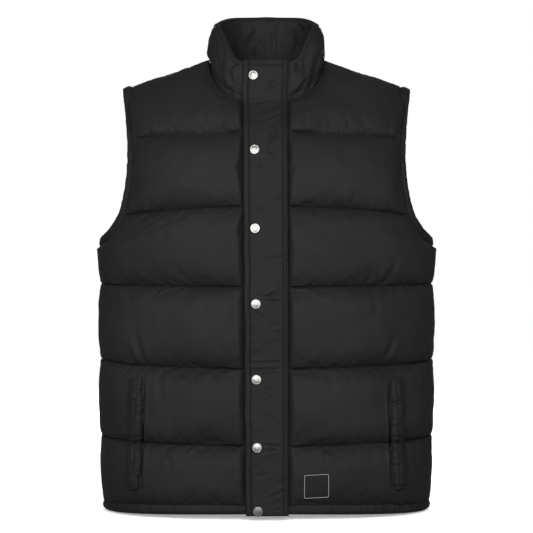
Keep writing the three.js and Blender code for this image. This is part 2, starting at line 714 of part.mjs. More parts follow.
// A pad on a front panel: its rows are the panel's own rows, between two straight ends.
function padOn(panel, xs, ends, lean, rise) {
  const middle = (xs[0] + xs.at(-1)) / 2;
  const margin = 3;
  const rows = panel.filter((row) => {
    const { z } = acrossRow(row, middle);
    return z > ends.bottom + margin && z < ends.top - margin;
  });
  const leaning = (z) => (lean * (ends.top - z)) / (ends.top - ends.bottom);
  const end = (z) => xs.map((x) => onGrid(panel, x + leaning(z), z + rise * (x - middle)));
  const body = rows.map((row) => xs.map((x) => acrossRow(row, x + leaning(acrossRow(row, middle).z))));
  return [end(ends.bottom), ...body, end(ends.top)];
}

// Pocket welts
const weltXs = WELT_SHARES.map((share) => lerp(WELT.innerX, WELT.outerX, share));
for (const [name, panel, sign] of [
  ["pocket_welt_left", half.front.outer, 1],
  ["pocket_welt_right", flipped(half.front.outer), -1],
]) {
  const xs = sign > 0 ? weltXs : weltXs.map((x) => -x).reverse();
  const base = padOn(panel, xs, WELT, sign * WELT.slant, 0);
  add(name, shellOver(base, ON_PANEL_CLEARANCE, WELT.thickness, WELT.edgeThickness).geometry, trim);
}

// Patch on the left front
const patchXs = PATCH_SHARES.map((share) => PATCH.x + (share - 0.5) * PATCH.width);
const patchEnds = { bottom: PATCH.z - PATCH.height / 2, top: PATCH.z + PATCH.height / 2 };
const patchBase = padOn(half.front.outer, patchXs, patchEnds, 0, PATCH.tilt);
const patch = shellOver(patchBase, ON_PANEL_CLEARANCE, PATCH.thickness, PATCH.edgeThickness);
add("patch", patch.geometry, patchCloth);

export default vest;
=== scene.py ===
import math

import bpy
import numpy as np
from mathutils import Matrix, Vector
from mathutils.bvhtree import BVHTree


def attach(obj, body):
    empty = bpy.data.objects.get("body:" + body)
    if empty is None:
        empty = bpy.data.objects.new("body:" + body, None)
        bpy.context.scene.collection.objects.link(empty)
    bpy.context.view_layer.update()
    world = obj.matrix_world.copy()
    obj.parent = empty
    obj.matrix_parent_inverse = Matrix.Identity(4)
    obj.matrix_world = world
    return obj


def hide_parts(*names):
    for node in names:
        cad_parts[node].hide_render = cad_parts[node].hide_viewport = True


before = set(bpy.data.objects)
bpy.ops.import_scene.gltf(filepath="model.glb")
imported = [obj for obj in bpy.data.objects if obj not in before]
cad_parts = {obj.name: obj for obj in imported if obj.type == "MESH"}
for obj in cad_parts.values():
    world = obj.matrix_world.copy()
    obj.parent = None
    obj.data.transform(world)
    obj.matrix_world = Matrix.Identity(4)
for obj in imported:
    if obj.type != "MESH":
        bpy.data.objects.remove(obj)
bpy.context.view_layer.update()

# A quilted puffer vest. The surfaces are worked out in millimetres from the same sizes as the solids
# and written to the meshes in metres. +Z is up, the front faces -Y and +X is the wearer's left.
MM = 0.001

# Torso, as in the solids: the inside of the vest is one smooth surface.
SECTION_POWER = 2.4
SHOULDER_TOP, SHOULDER_SLOPE = 31.2, 0.3215
ROLL_DROP, ROLL_POWER = 150, 1.7
NAPE_LIFT = 42
SEAM_GAP = 0.3
TORSO = np.array([  # z, half width, front reach, back reach
    (-660, 236.5, 119, 108),
    (-560, 241, 118, 106),
    (-445, 242, 116, 98),
    (-330, 242.5, 118, 100),
    (-220, 243, 115, 108),
    (-112, 243, 99, 105),
    (-66, 243, 84, 98),
    (20, 243, 74, 86),
])
REACH_COLUMN = {"front": 2, "back": 3}
FACING = {"front": -1, "back": 1}
NECK_HALF_WIDTH, NECK_POWER = 83.5, 2.5
NECK_DROP, NECK_DROP_POWER = {"front": 68, "back": 4}, 0.95
SHOULDER_TIP = 212.5
ARMHOLE = np.array([  # step, x, z
    (0, SHOULDER_TIP, SHOULDER_TOP - SHOULDER_SLOPE * SHOULDER_TIP),
    (1, 206, -80),
    (2, 201, -120),
    (3, 200, -155),
    (4, 203.5, -188),
    (5, 211, -219),
    (6, 224, -241),
    (7, 235, -251.5),
    (8, 243, -257.5),
])
BACK_ARMHOLE_FULLNESS = 5
ARMHOLE_STEP = 0.005  # share of the armhole on each side of a point, to find its direction
ARMHOLE_FACING = {"at_tip": 200.0, "past_tip": 10.0, "shares": (0.01, 0.12)}  # upward part
TIP_BLEND, ARMPIT_END = 0.08, 0.995  # shares of the armhole from the shoulder tip
BAND_WIDTH, BAND_THICKNESS = 15, 6.5
QUILT_LINES = {  # height of each quilting line from the hem seam up
    "front": np.array([-637.5, -554, -444, -328, -214, -108, 0]),
    "side": np.array([-648, -545, -433, -323, -225, -114, 0]),
    "back": np.array([-648, -549, -438, -326, -220, -112, 0]),
}
LINE_RISE_POWER = 1.5
TOP_CHANNEL = 5
ARMPIT_ROW, ARMPIT_BLEND = 3.5, 0.6
TOP_STEP_POWER = 1.6
SEAM_THICKNESS = 4.5
CROWN_THICKNESS = np.array([17, 21, 21, 21, 20, 17])
CROWN_AT, CROWN_ROUNDNESS = 0.44, 2.3
EDGE_FADE, EDGE_FADE_POWER, SIDE_FADE = 34, 1.6, 90
NECK_FADE, SHOULDER_FADE = (16, 2), (48, 1.25)
PLACKET_FADE = 6
SIDE_FULLNESS = 0.1
UNDER_PLACKET_THICKNESS = 4
FLAT_HALF_WIDTH = 35.5
NECK_SHARE = {"front": 0.255, "back": 0.333}


def smooth(table, column, at):
    """Smooth curve through a column of a table whose first column rises."""
    keys, values = table[:, 0], table[:, column]
    at = np.asarray(at, float)
    secant = np.diff(values) / np.diff(keys)
    tangent = np.empty(len(keys))
    tangent[0], tangent[-1] = secant[0], secant[-1]
    tangent[1:-1] = (values[2:] - values[:-2]) / (keys[2:] - keys[:-2])
    i = np.searchsorted(keys[1:-1], at)
    span = keys[i + 1] - keys[i]
    s = np.clip((at - keys[i]) / span, 0, 1)
    h = s * s * (3 - 2 * s)
    return (
        values[i] * (1 - h) + values[i + 1] * h
        + span * s * (1 - s) * ((1 - s) * tangent[i] - s * tangent[i + 1])
    )


def lerp(a, b, s):
    return a + (b - a) * s


def unit(v):
    return v / np.maximum(np.linalg.norm(v, axis=-1, keepdims=True), 1e-12)


def rounded(s, power):
    return (1 - (1 - np.clip(s, 0, 1)) ** power) ** (1 / power)


def soft_step(x, low, high):
    s = np.clip((x - low) / (high - low), 0, 1)
    return s * s * (3 - 2 * s)


def ridge(x, side):
    in_neck = np.clip(1 - (x / NECK_HALF_WIDTH) ** 2, 0, 1)
    lift = NAPE_LIFT if side == "back" else 0
    return SHOULDER_TOP - SHOULDER_SLOPE * np.abs(x) + lift * in_neck**1.5


def reach(x, z, side):
    across = np.clip(np.abs(x) / smooth(TORSO, 1, z), 0, 1) ** SECTION_POWER
    roll = rounded((ridge(x, side) - z) / ROLL_DROP, ROLL_POWER)
    return smooth(TORSO, REACH_COLUMN[side], z) * (1 - across) ** (1 / SECTION_POWER) * roll


def on_torso(x, z, side):
    x, z = np.broadcast_arrays(np.asarray(x, float), np.asarray(z, float))
    return np.stack([x, FACING[side] * (reach(x, z, side) + SEAM_GAP / 2), z], -1)


def torso_normal(p, side):
    x, z = p[..., 0], p[..., 2]
    across = (reach(x + 1, z, side) - reach(x - 1, z, side)) / 2
    up = (reach(x, z + 1, side) - reach(x, z - 1, side)) / 2
    return unit(np.stack([-across, np.full_like(x, FACING[side]), -up], -1))


def angle_at(x, z):
    return np.arcsin(np.clip(x / smooth(TORSO, 1, z), 0, 1) ** (SECTION_POWER / 2))


def x_at_angle(angle, z):
    return smooth(TORSO, 1, z) * np.sin(angle) ** (2 / SECTION_POWER)


def neck_angle(x):
    """The neckline's angle round the neck, from the centre, at a distance x from it."""
    return math.asin((x / NECK_HALF_WIDTH) ** (NECK_POWER / 2))


def neckline(angle, side):
    x = NECK_HALF_WIDTH * np.sin(angle) ** (2 / NECK_POWER)
    drop = NECK_DROP[side] * np.maximum(np.cos(angle), 0) ** NECK_DROP_POWER
    return on_torso(x, ridge(NECK_HALF_WIDTH, side) - drop, side)


def armhole_edge(share, side):
    step = share * (len(ARMHOLE) - 1)
    fuller = BACK_ARMHOLE_FULLNESS * np.sin(np.pi * share) ** 2 if side == "back" else 0
    z = smooth(ARMHOLE, 2, step)
    return on_torso(np.minimum(smooth(ARMHOLE, 1, step) + fuller, smooth(TORSO, 1, z)), z, side)


def armhole_panel_edge(share, side):
    """The panel's own edge beside the armhole: the finished edge moved in by the band's width."""
    share = np.asarray(share, float)
    here = armhole_edge(share, side)
    width = BAND_WIDTH + SEAM_GAP
    ahead, behind = (
        np.minimum(share + ARMHOLE_STEP, 1), np.maximum(share - ARMHOLE_STEP, 0)
    )
    along = armhole_edge(ahead, side) - armhole_edge(behind, side)
    outward = np.stack([
        here[..., 0] / 2,
        FACING[side] * np.abs(here[..., 1]),
        lerp(
            ARMHOLE_FACING["at_tip"], ARMHOLE_FACING["past_tip"],
            soft_step(share, *ARMHOLE_FACING["shares"]),
        ),
    ], -1)
    inward = unit(-FACING[side] * np.cross(along, outward))
    tip = unit(np.array([-1, 0, SHOULDER_SLOPE]))
    inward = unit(lerp(tip, inward, soft_step(share, 0, TIP_BLEND)[..., None]))
    inward = np.where((share > ARMPIT_END)[..., None], np.array([0, 0, -1.0]), inward)
    z = here[..., 2] + inward[..., 2] * width
    x = np.minimum(here[..., 0] + inward[..., 0] * width, smooth(TORSO, 1, z))
    return on_torso(x, z, side)


def armhole_share_at(z, side):
    low, high = 0.0, 1.0
    for _ in range(50):
        middle = (low + high) / 2
        if armhole_panel_edge(middle, side)[2] > z:
            low = middle
        else:
            high = middle
    return (low + high) / 2


ARMHOLE_SHARES = {
    side: np.array([1, *(armhole_share_at(z, side) for z in QUILT_LINES["side"][4:6]), 0])
    for side in FACING
}


def armhole_share_of_row(v, side):
    return np.interp(v, [ARMPIT_ROW, 4, 5, 6], ARMHOLE_SHARES[side])


def side_edge(v, side):
    """The panel's side edge: on the side seam up to the armpit, then along the armhole."""
    v = np.asarray(v, float)
    armpit = armhole_panel_edge(1.0, side)[2]
    heights = np.append(QUILT_LINES["side"][:4], armpit)
    z = np.interp(v, [0, 1, 2, 3, ARMPIT_ROW], heights)
    seam = on_torso(smooth(TORSO, 1, z), z, side)
    armhole = armhole_panel_edge(armhole_share_of_row(np.maximum(v, ARMPIT_ROW), side), side)
    return np.where((v > ARMPIT_ROW)[..., None], armhole, seam)


def half_panel(side, rows, shares):
    """Inner points of half a panel, row by row from the hem, out from the centre line."""
    first_x = FLAT_HALF_WIDTH if side == "front" else 0
    neck_share = NECK_SHARE[side]
    v, share = np.meshgrid(rows, shares, indexing="ij")
    low_v = np.minimum(v, TOP_CHANNEL)
    centre = np.interp(low_v, np.arange(7), QUILT_LINES[side])
    edge = side_edge(low_v, side)
    angle = lerp(angle_at(first_x, centre), angle_at(edge[..., 0], edge[..., 2]), share)
    z = lerp(centre, edge[..., 2], share**LINE_RISE_POWER)
    x = np.minimum(x_at_angle(angle, z), edge[..., 0])
    tip = side_edge(6.0, side)
    angles = np.linspace(neck_angle(first_x), np.pi / 2, 400)
    steps = np.linalg.norm(np.diff(neckline(angles, side), axis=0), axis=-1)
    far = np.append(0, np.cumsum(steps))
    along = np.minimum(share / neck_share, 1) * far[-1]
    neck = neckline(np.interp(along, far, angles), side)
    over = np.clip((share - neck_share) / (1 - neck_share), 0, 1)
    shoulder_x = lerp(NECK_HALF_WIDTH, tip[0], over)
    on_shoulder = share > neck_share
    top_x = np.where(on_shoulder, shoulder_x, neck[..., 0])
    top_z = np.where(on_shoulder, ridge(shoulder_x, side), neck[..., 2])
    rise = np.maximum(v - TOP_CHANNEL, 0)
    points = on_torso(lerp(x, top_x, rise), lerp(z, top_z, rise), side)
    points[:, -1] = side_edge(rows, side)
    return points


def crown(s):
    distance = np.where(s < CROWN_AT, (CROWN_AT - s) / CROWN_AT, (s - CROWN_AT) / (1 - CROWN_AT))
    return (1 - np.clip(distance, 0, 1) ** CROWN_ROUNDNESS) ** (1 / CROWN_ROUNDNESS)


def nearest(points, line):
    """Distance from each grid point to the nearest point of a line."""
    gaps = points[:, :, None] - line[None, None]
    return np.sqrt((gaps**2).sum(-1).min(-1))


def padding(grid, rows, side):
    """Thickness of half a panel at each grid point, past the placket."""
    v = np.broadcast_to(rows[:, None], grid.shape[:2])
    channel = np.minimum(np.floor(v), TOP_CHANNEL).astype(int)
    by_armhole = soft_step(v, ARMPIT_ROW - ARMPIT_BLEND / 2, ARMPIT_ROW + ARMPIT_BLEND)
    top = TOP_CHANNEL * (len(rows) - 1) // (TOP_CHANNEL + 1)
    at_neck = grid[-1, :, 0] <= NECK_HALF_WIDTH + 0.5
    fades = ((grid[-1, at_neck], NECK_FADE), (grid[-1, ~at_neck], SHOULDER_FADE))
    to_top = np.ones_like(v)
    for line, (width, power) in fades:
        to_top[top:] = np.minimum(to_top[top:], rounded(nearest(grid[top:], line) / width, power))
    in_top = (channel == TOP_CHANNEL) & (v - channel > CROWN_AT)
    to_lines = np.where(in_top, to_top, crown(v - channel))
    to_edge = np.linalg.norm(grid - grid[:, -1:], axis=-1)
    to_side = lerp(
        soft_step(to_edge, 0, SIDE_FADE), rounded(to_edge / EDGE_FADE, EDGE_FADE_POWER), by_armhole
    )
    to_centre = np.ones_like(v)
    if side == "front":
        to_centre = rounded(np.linalg.norm(grid - grid[:, :1], axis=-1) / PLACKET_FADE, 2)
    under = SEAM_THICKNESS
    if side == "front":
        under = lerp(UNDER_PLACKET_THICKNESS, SEAM_THICKNESS, to_centre)
    full = CROWN_THICKNESS[channel] - SEAM_THICKNESS
    return under + full * lerp(SIDE_FULLNESS, 1, to_side) * to_centre * to_lines


def thinned(count, step):
    """Every step-th index below a count, and the last."""
    return np.unique(np.append(np.arange(0, count, step), count - 1))


def arc_spaced(points, count):
    """Points at equal distances along a dense polyline."""
    far = np.concatenate([[0], np.cumsum(np.linalg.norm(np.diff(points, axis=0), axis=1))])
    at = np.linspace(0, far[-1], count)
    return np.stack([np.interp(at, far, points[:, k]) for k in range(3)], -1)


def curve_through(points, at, axis=0):
    """Catmull-Rom curves through points along an axis, read at fractional indices."""
    points = np.moveaxis(np.asarray(points, float), axis, 0)
    last = len(points) - 1
    i = np.clip(np.floor(at).astype(int), 0, last - 1)
    t = (at - i).reshape(-1, *[1] * (points.ndim - 1))
    b, c = points[i], points[i + 1]
    a = np.where((i > 0).reshape(t.shape), points[np.maximum(i - 1, 0)], 2 * b - c)
    d = np.where((i < last - 1).reshape(t.shape), points[np.minimum(i + 2, last)], 2 * c - b)
    curve = (
        b + (c - a) * t / 2 + (2 * a - 5 * b + 4 * c - d) * t**2 / 2
        + (3 * b - a - 3 * c + d) * t**3 / 2
    )
    return np.moveaxis(curve, 0, axis)


def grid_normals(grid):
    up = np.gradient(grid, axis=0)
    across = np.gradient(grid, axis=1)
    return unit(np.cross(across, up))


def lengths(grid):
    """Distances along the rows and along the columns of a grid, in millimetres."""
    u = np.zeros(grid.shape[:2])
    v = np.zeros(grid.shape[:2])
    u[:, 1:] = np.cumsum(np.linalg.norm(np.diff(grid, axis=1), axis=-1), axis=1)
    v[1:] = np.cumsum(np.linalg.norm(np.diff(grid, axis=0), axis=-1), axis=0)
    return u, v


def waves(u, v, length, seed, count=14):
    """A smooth uneven field from -1 to 1, with bumps of about the given length."""
    rng = np.random.default_rng(seed)
    total = np.zeros_like(u)
    for _ in range(count):
        angle, phase = rng.uniform(0, 2 * np.pi, 2)
        k = 2 * np.pi / (length * rng.uniform(0.75, 1.5))
        total += np.sin(k * (u * np.cos(angle) + v * np.sin(angle)) + phase)
    return total / np.sqrt(count)


# Materials
def nodes_of(name):
    material = bpy.data.materials.new(name)
    material.use_nodes = True
    tree = material.node_tree
    return material, tree, tree.nodes["Principled BSDF"]


def add_node(tree, kind, inputs=(), **settings):
    node = tree.nodes.new(kind)
    for name, value in settings.items():
        setattr(node, name, value)
    for key, value in dict(inputs).items():
        socket = node.inputs[key]
        if isinstance(value, bpy.types.NodeSocket):
            tree.links.new(value, socket)
        else:
            socket.default_value = value
    return node


def math_node(tree, operation, a, b=0.0):
    return add_node(tree, "ShaderNodeMath", {0: a, 1: b}, operation=operation).outputs[0]


def noise(tree, place, scale, **settings):
    inputs = {"Vector": place, "Scale": scale, **settings}
    return add_node(tree, "ShaderNodeTexNoise", inputs).outputs["Fac"]


def colours(tree, fac, dark, light, ends=(0, 1)):
    """A colour between a dark and a light one, which are reached at the two ends."""
    ramp = add_node(tree, "ShaderNodeValToRGB", {"Fac": fac})
    for element, colour, at in zip(ramp.color_ramp.elements, (dark, light), ends):
        element.position, element.color = at, (*colour, 1)
    return ramp.outputs["Color"]


def bump(tree, strength, distance, height, under=None):
    inputs = {"Strength": strength, "Distance": distance, "Height": height}
    if under is not None:
        inputs["Normal"] = under
    return add_node(tree, "ShaderNodeBump", inputs).outputs["Normal"]


def set_inputs(tree, shader, inputs):
    """Links or values for a shader's inputs."""
    for key, value in inputs.items():
        if isinstance(value, bpy.types.NodeSocket):
            tree.links.new(value, shader.inputs[key])
        else:
            shader.inputs[key].default_value = value


def nylon(name, dark, light, roughness, sheen, weave=2600.0):
    """Plain-woven nylon: fine yarns by the piece's own lengths, with soft crumples and a satin sheen."""
    material, tree, shader = nodes_of(name)
    uv = add_node(tree, "ShaderNodeUVMap", uv_map="cloth").outputs[0]
    place = add_node(tree, "ShaderNodeTexCoord").outputs["Object"]
    split = add_node(tree, "ShaderNodeSeparateXYZ", {0: uv})
    yarns = []
    for axis in ("X", "Y"):
        turned = math_node(tree, "MULTIPLY", split.outputs[axis], weave * 2 * math.pi)
        yarns.append(math_node(tree, "SINE", turned))
    cross = math_node(tree, "MULTIPLY", yarns[0], yarns[1])
    patches = noise(tree, place, 9.0, Detail=4.0)
    crumple = noise(tree, place, 70.0, Detail=3.0, Roughness=0.5)
    fine = noise(tree, place, 420.0, Detail=2.0)
    mixed = math_node(tree, "MULTIPLY_ADD", cross, 0.12)
    tree.links.new(patches, mixed.node.inputs[2])
    gloss = add_node(
        tree, "ShaderNodeMapRange",
        {"Value": patches, "To Min": roughness - 0.05, "To Max": roughness + 0.05},
    )
    soft = bump(tree, 0.35, 0.0012, crumple)
    grain = bump(tree, 0.12, 0.0003, fine, soft)
    set_inputs(tree, shader, {
        "Base Color": colours(tree, mixed, dark, light, (0.3, 0.75)),
        "Roughness": gloss.outputs["Result"],
        "Normal": bump(tree, 0.25, 0.00008, cross, grain),
        "Specular IOR Level": 0.1,
        "Sheen Weight": sheen,
        "Sheen Roughness": 0.45,
        "Sheen Tint": (0.75, 0.77, 0.8, 1),
    })
    return material


def thread(name, colour):
    """Twisted sewing thread, by the stitches' own lengths."""
    material, tree, shader = nodes_of(name)
    place = add_node(tree, "ShaderNodeTexCoord").outputs["Object"]
    twist = add_node(
        tree, "ShaderNodeTexWave", {"Vector": place, "Scale": 900.0, "Distortion": 1.0},
        bands_direction="DIAGONAL",
    )
    twist = twist.outputs["Fac"]
    set_inputs(tree, shader, {
        "Base Color": colours(tree, twist, [0.7 * c for c in colour], colour),
        "Normal": bump(tree, 0.4, 0.0001, twist),
        "Roughness": 0.7,
        "Specular IOR Level": 0.1,
    })
    return material


def brushed_metal(name):
    """Nickel-plated brass with fine turning marks, scratches and duller worn patches."""
    material, tree, shader = nodes_of(name)
    place = add_node(tree, "ShaderNodeTexCoord").outputs["Object"]
    worn = noise(tree, place, 260.0, Detail=5.0)
    stretched = add_node(tree, "ShaderNodeMapping", {"Vector": place, "Scale": (400.0, 400.0, 3000.0)})
    marks = noise(tree, stretched.outputs[0], 1.0)
    rough = add_node(tree, "ShaderNodeMapRange", {"Value": marks, "To Min": 0.32, "To Max": 0.5})
    set_inputs(tree, shader, {
        "Base Color": colours(tree, worn, (0.30, 0.295, 0.28), (0.52, 0.51, 0.49), (0.3, 0.7)),
        "Roughness": rough.outputs["Result"],
        "Normal": bump(tree, 0.2, 0.0001, marks),
        "Metallic": 1.0,
    })
    return material


SHELL = nylon("shell_nylon", (0.0185, 0.0188, 0.0196), (0.0245, 0.0249, 0.0258), 0.6, 0.03)
TRIM = nylon("trim_nylon", (0.0175, 0.0178, 0.0186), (0.0235, 0.0239, 0.0248), 0.62, 0.03)
PATCH_CLOTH = nylon("patch_cloth", (0.016, 0.016, 0.0165), (0.026, 0.026, 0.0268), 0.7, 0.05, 1400.0)
THREAD = thread("black_thread", (0.011, 0.011, 0.0115))
GREY_THREAD = thread("grey_thread", (0.62, 0.62, 0.61))
METAL = brushed_metal("brushed_nickel")


# Meshes
def make(name, points, faces, uv, material):
    """A piece with smooth faces. points are in millimetres and uv in metres, one for each point."""
    mesh = bpy.data.meshes.new(name)
    mesh.from_pydata((np.asarray(points) * MM).tolist(), [], [list(f) for f in faces])
    layer = mesh.uv_layers.new(name="cloth")
    corners = np.empty(len(mesh.loops), np.int32)
    mesh.loops.foreach_get("vertex_index", corners)
    layer.data.foreach_set("uv", np.asarray(uv, np.float32)[corners].ravel())
    mesh.polygons.foreach_set("use_smooth", np.ones(len(mesh.polygons), bool))
    mesh.materials.append(material)
    mesh.update()
    piece = bpy.data.objects.new(name, mesh)
    bpy.context.scene.collection.objects.link(piece)
    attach(piece, "root")
    return piece


def quads(index, flip=False):
    corners = [index[:-1, :-1], index[:-1, 1:], index[1:, 1:], index[1:, :-1]]
    if flip:
        corners.reverse()
    return np.stack(corners, -1).reshape(-1, 4).tolist()


def joined(a, b, a_keys, b_keys):
    """Triangles between two polylines whose ends correspond."""
    faces, i, j = [], 0, 0
    while i + 1 < len(a) or j + 1 < len(b):
        if j + 1 >= len(b) or (i + 1 < len(a) and a_keys[i + 1] <= b_keys[j + 1]):
            faces.append((a[i], a[i + 1], b[j]))
            i += 1
        else:
            faces.append((a[i], b[j + 1], b[j]))
            j += 1
    return faces


def closed_shell(outer, inner, row_keys, column_keys):
    """Points, faces and cloth lengths of a closed skin over an outer grid and a sparser inner one.
    row_keys and column_keys are (outer keys, inner keys)."""
    shapes = outer.shape[:2], inner.shape[:2]
    outside = np.arange(shapes[0][0] * shapes[0][1]).reshape(shapes[0])
    inside = outside.size + np.arange(shapes[1][0] * shapes[1][1]).reshape(shapes[1])
    faces = quads(outside) + quads(inside, flip=True)
    rk, ck = row_keys, column_keys
    back = lambda line: line[::-1]
    faces += joined(back(outside[0]), back(inside[0]), -back(ck[0]), -back(ck[1]))
    faces += joined(outside[-1], inside[-1], ck[0], ck[1])
    faces += joined(outside[:, 0], inside[:, 0], rk[0], rk[1])
    faces += joined(back(outside[:, -1]), back(inside[:, -1]), -back(rk[0]), -back(rk[1]))
    uv = []
    for grid in (outer, inner):
        u, v = lengths(grid)
        uv.append(np.stack([u, v], -1).reshape(-1, 2) * MM)
    return np.concatenate([outer.reshape(-1, 3), inner.reshape(-1, 3)]), faces, np.concatenate(uv)


def tube(rings, closes):
    """Points, faces and cloth lengths of a solid swept through rings of points."""
    rings = np.asarray(rings)
    count, size = rings.shape[:2]
    index = np.arange(count * size).reshape(count, size)
    around = np.concatenate([index, index[:, :1]], 1)
    if closes:
        around = np.concatenate([around, around[:1]])
    faces = quads(around)
    if not closes:
        faces += [tuple(index[0][::-1]), tuple(index[-1])]
    u, v = lengths(rings)
    return rings.reshape(-1, 3), faces, np.stack([u, v], -1).reshape(-1, 2) * MM


# Quilted panels
SIM_STEPS = 26  # rows of a channel while its cloth settles
FINE_STEPS = 42  # rows of a channel in the finished mesh
SIM_COLUMNS = {"front": 84, "back": 78}
FINE_COLUMNS = {"front": 150, "back": 140}
START_FULLNESS = 0.92  # of the finished padding, before the cloth swells
FURTHEST_SWELL = 5
CALM_AT_SIDES, CALM_WIDTH = 0.3, 75
LINE_CROWDING = 0.1
ROW_CROWDING = 0.08  # the same while the cloth settles
SIM_FRAMES = 20
UNEVEN = {"share": 0.07, "length": 95}  # of the padding's fullness
GROOVE_DEPTH, GROOVE_WIDTH = 2.2, 1.2
PLACKET = {"bottom": -652.5, "top": 0.5, "clearance": 1.1, "middle": 6, "edge": 3.6, "half": 29.5}
PLACKET_EDGES = {"free": (-29.5, -34), "sewn": (31.2, 29.8)}  # x at the bottom, at the top
FRONT_EDGE = {"front_left": "sewn", "front_right": "free"}
PLACKET_ROOM, DRAWN_WIDTH = 0.4, 30
SEAM_EDGES = {"front_left": (-1,), "front_right": (0,), "back": (0, -1)}
CLOTH_SPARE = 0.015  # share by which the shell is cut larger than its lining


def channel_rows(steps):
    """Rows counted in quilting lines. They lie closer together beside the lines."""
    s = np.arange(steps) / steps
    s = s - ROW_CROWDING * np.sin(2 * np.pi * s)
    rows = [c + s for c in range(TOP_CHANNEL)]
    rows.append(TOP_CHANNEL + 1 - (1 - s) ** TOP_STEP_POWER)
    return np.append(np.concatenate(rows), TOP_CHANNEL + 1.0)


def sim_panel(side):
    """Inner grid and outward directions of half a panel past the placket."""
    rows = channel_rows(SIM_STEPS)
    inner = half_panel(side, rows, np.linspace(0, 1, SIM_COLUMNS[side]))
    normals = torso_normal(inner, side)
    thickness = padding(inner, rows, side)
    under = SEAM_THICKNESS if side == "back" else UNDER_PLACKET_THICKNESS
    thickness = under + (thickness - under) * START_FULLNESS
    return inner, normals, thickness


def mirror(grid):
    return grid[:, ::-1] * [-1, 1, 1]


def settle(grids):
    """Lets the shells of the panels swell as cloth that is sewn down along the quilting lines."""
    made = []
    for name, outer in grids.items():
        shape = outer.shape[:2]
        index = np.arange(shape[0] * shape[1]).reshape(shape)
        mesh = bpy.data.meshes.new(name)
        mesh.from_pydata((outer.reshape(-1, 3) * MM).tolist(), [], quads(index))
        piece = bpy.data.objects.new(name, mesh)
        bpy.context.scene.collection.objects.link(piece)
        sewn = np.zeros(shape, bool)
        sewn[::SIM_STEPS] = sewn[:, 0] = sewn[:, -1] = True
        piece.vertex_groups.new(name="sewn").add(index[sewn].tolist(), 1.0, "REPLACE")
        cloth = piece.modifiers.new("Cloth", "CLOTH")
        settings = cloth.settings
        settings.vertex_group_mass = "sewn"
        settings.pin_stiffness = 1.0
        settings.use_pressure = True
        settings.uniform_pressure_force = 4.0
        settings.shrink_min = -CLOTH_SPARE
        settings.tension_stiffness = settings.compression_stiffness = 15.0
        settings.shear_stiffness = 5.0
        settings.bending_stiffness = 0.05
        settings.effector_weights.gravity = 0.0
        cloth.collision_settings.use_collision = False
        cloth.point_cache.frame_start, cloth.point_cache.frame_end = 1, SIM_FRAMES
        made.append((name, piece, outer))
    for at in range(1, SIM_FRAMES + 1):
        bpy.context.scene.frame_set(at)
    settled = {}
    graph = bpy.context.evaluated_depsgraph_get()
    for name, piece, outer in made:
        places = np.empty(outer.size)
        piece.evaluated_get(graph).data.vertices.foreach_get("co", places)
        move = places.reshape(outer.shape) / MM - outer
        far = np.linalg.norm(move, axis=-1, keepdims=True)
        move *= np.minimum(1, FURTHEST_SWELL / np.maximum(far, 1e-9))
        calm = np.ones(outer.shape[:2])
        for edge in SEAM_EDGES[name]:
            to_edge = np.linalg.norm(outer - outer[:, edge][:, None], axis=-1)
            calm = np.minimum(calm, lerp(CALM_AT_SIDES, 1, soft_step(to_edge, 0, CALM_WIDTH)))
        settled[name] = outer + move * calm[..., None]
        bpy.data.objects.remove(piece)
    bpy.context.scene.frame_set(1)
    return settled


sims = {side: sim_panel(side) for side in FACING}
uneven = lambda grid, seed: 1 + UNEVEN["share"] * waves(*lengths(grid), UNEVEN["length"], seed)
starts, inners = {}, {}
for name, side, turned in (
    ("front_left", "front", False), ("front_right", "front", True), ("back", "back", None),
):
    inner, normals, thickness = sims[side]
    if turned is None:
        inner = np.concatenate([inner[:, ::-1], (inner * [-1, 1, 1])[:, 1:]], 1)
        normals = np.concatenate([normals[:, ::-1], (normals * [-1, 1, 1])[:, 1:]], 1)
        thickness = np.concatenate([thickness[:, ::-1], thickness[:, 1:]], 1)
    elif turned:
        inner, normals, thickness = mirror(inner), mirror(normals), thickness[:, ::-1]
    under = UNDER_PLACKET_THICKNESS if side == "front" else SEAM_THICKNESS
    thickness = under + (thickness - under) * uneven(inner, len(name))
    inners[name] = inner
    starts[name] = inner + normals * thickness[..., None]
shells = settle(starts)


def finer(grid, columns):
    """The same surface with more points, closest together beside the quilting lines."""
    across = np.linspace(0, grid.shape[1] - 1, columns)
    grid = curve_through(grid, across, axis=1)
    s = np.arange(FINE_STEPS + 1) / FINE_STEPS
    up = SIM_STEPS * (s - LINE_CROWDING * np.sin(2 * np.pi * s))
    parts = []
    for channel in range(TOP_CHANNEL + 1):
        rows = grid[channel * SIM_STEPS : (channel + 1) * SIM_STEPS + 1]
        parts.append(curve_through(rows, up)[:-1])
    return np.concatenate(parts + [grid[-1:]])


def from_lines(v):
    """Distance of each point from the nearest quilting line, along its column."""
    lines = v[FINE_STEPS : TOP_CHANNEL * FINE_STEPS + 1 : FINE_STEPS]
    return np.abs(v[:, None] - lines[None]).min(1)


def drawn_in(grid, name):
    """The grid with its front edge drawn up to the placket's edge."""
    edge = np.abs(lerp(*PLACKET_EDGES[FRONT_EDGE[name]], 1 + grid[..., 2:3] / -PLACKET["bottom"]))
    shift = (FLAT_HALF_WIDTH - edge - PLACKET_ROOM) * (
        1 - soft_step(np.abs(grid[..., :1]), FLAT_HALF_WIDTH, FLAT_HALF_WIDTH + DRAWN_WIDTH)
    )
    return grid - shift * np.sign(grid[..., :1]) * [1, 0, 0]


# Small tucks that the stitching draws into the cloth on both sides of each quilting line.
TUCKS = [  # spacing, reach, width, depth: each a lowest and a highest value
    ((3.5, 10), (5, 14), (1.1, 2.3), (0.5, 1.7)),
    ((14, 44), (14, 34), (2.2, 4.4), (0.6, 1.8)),
]
TUCK_LEAN = 0.5


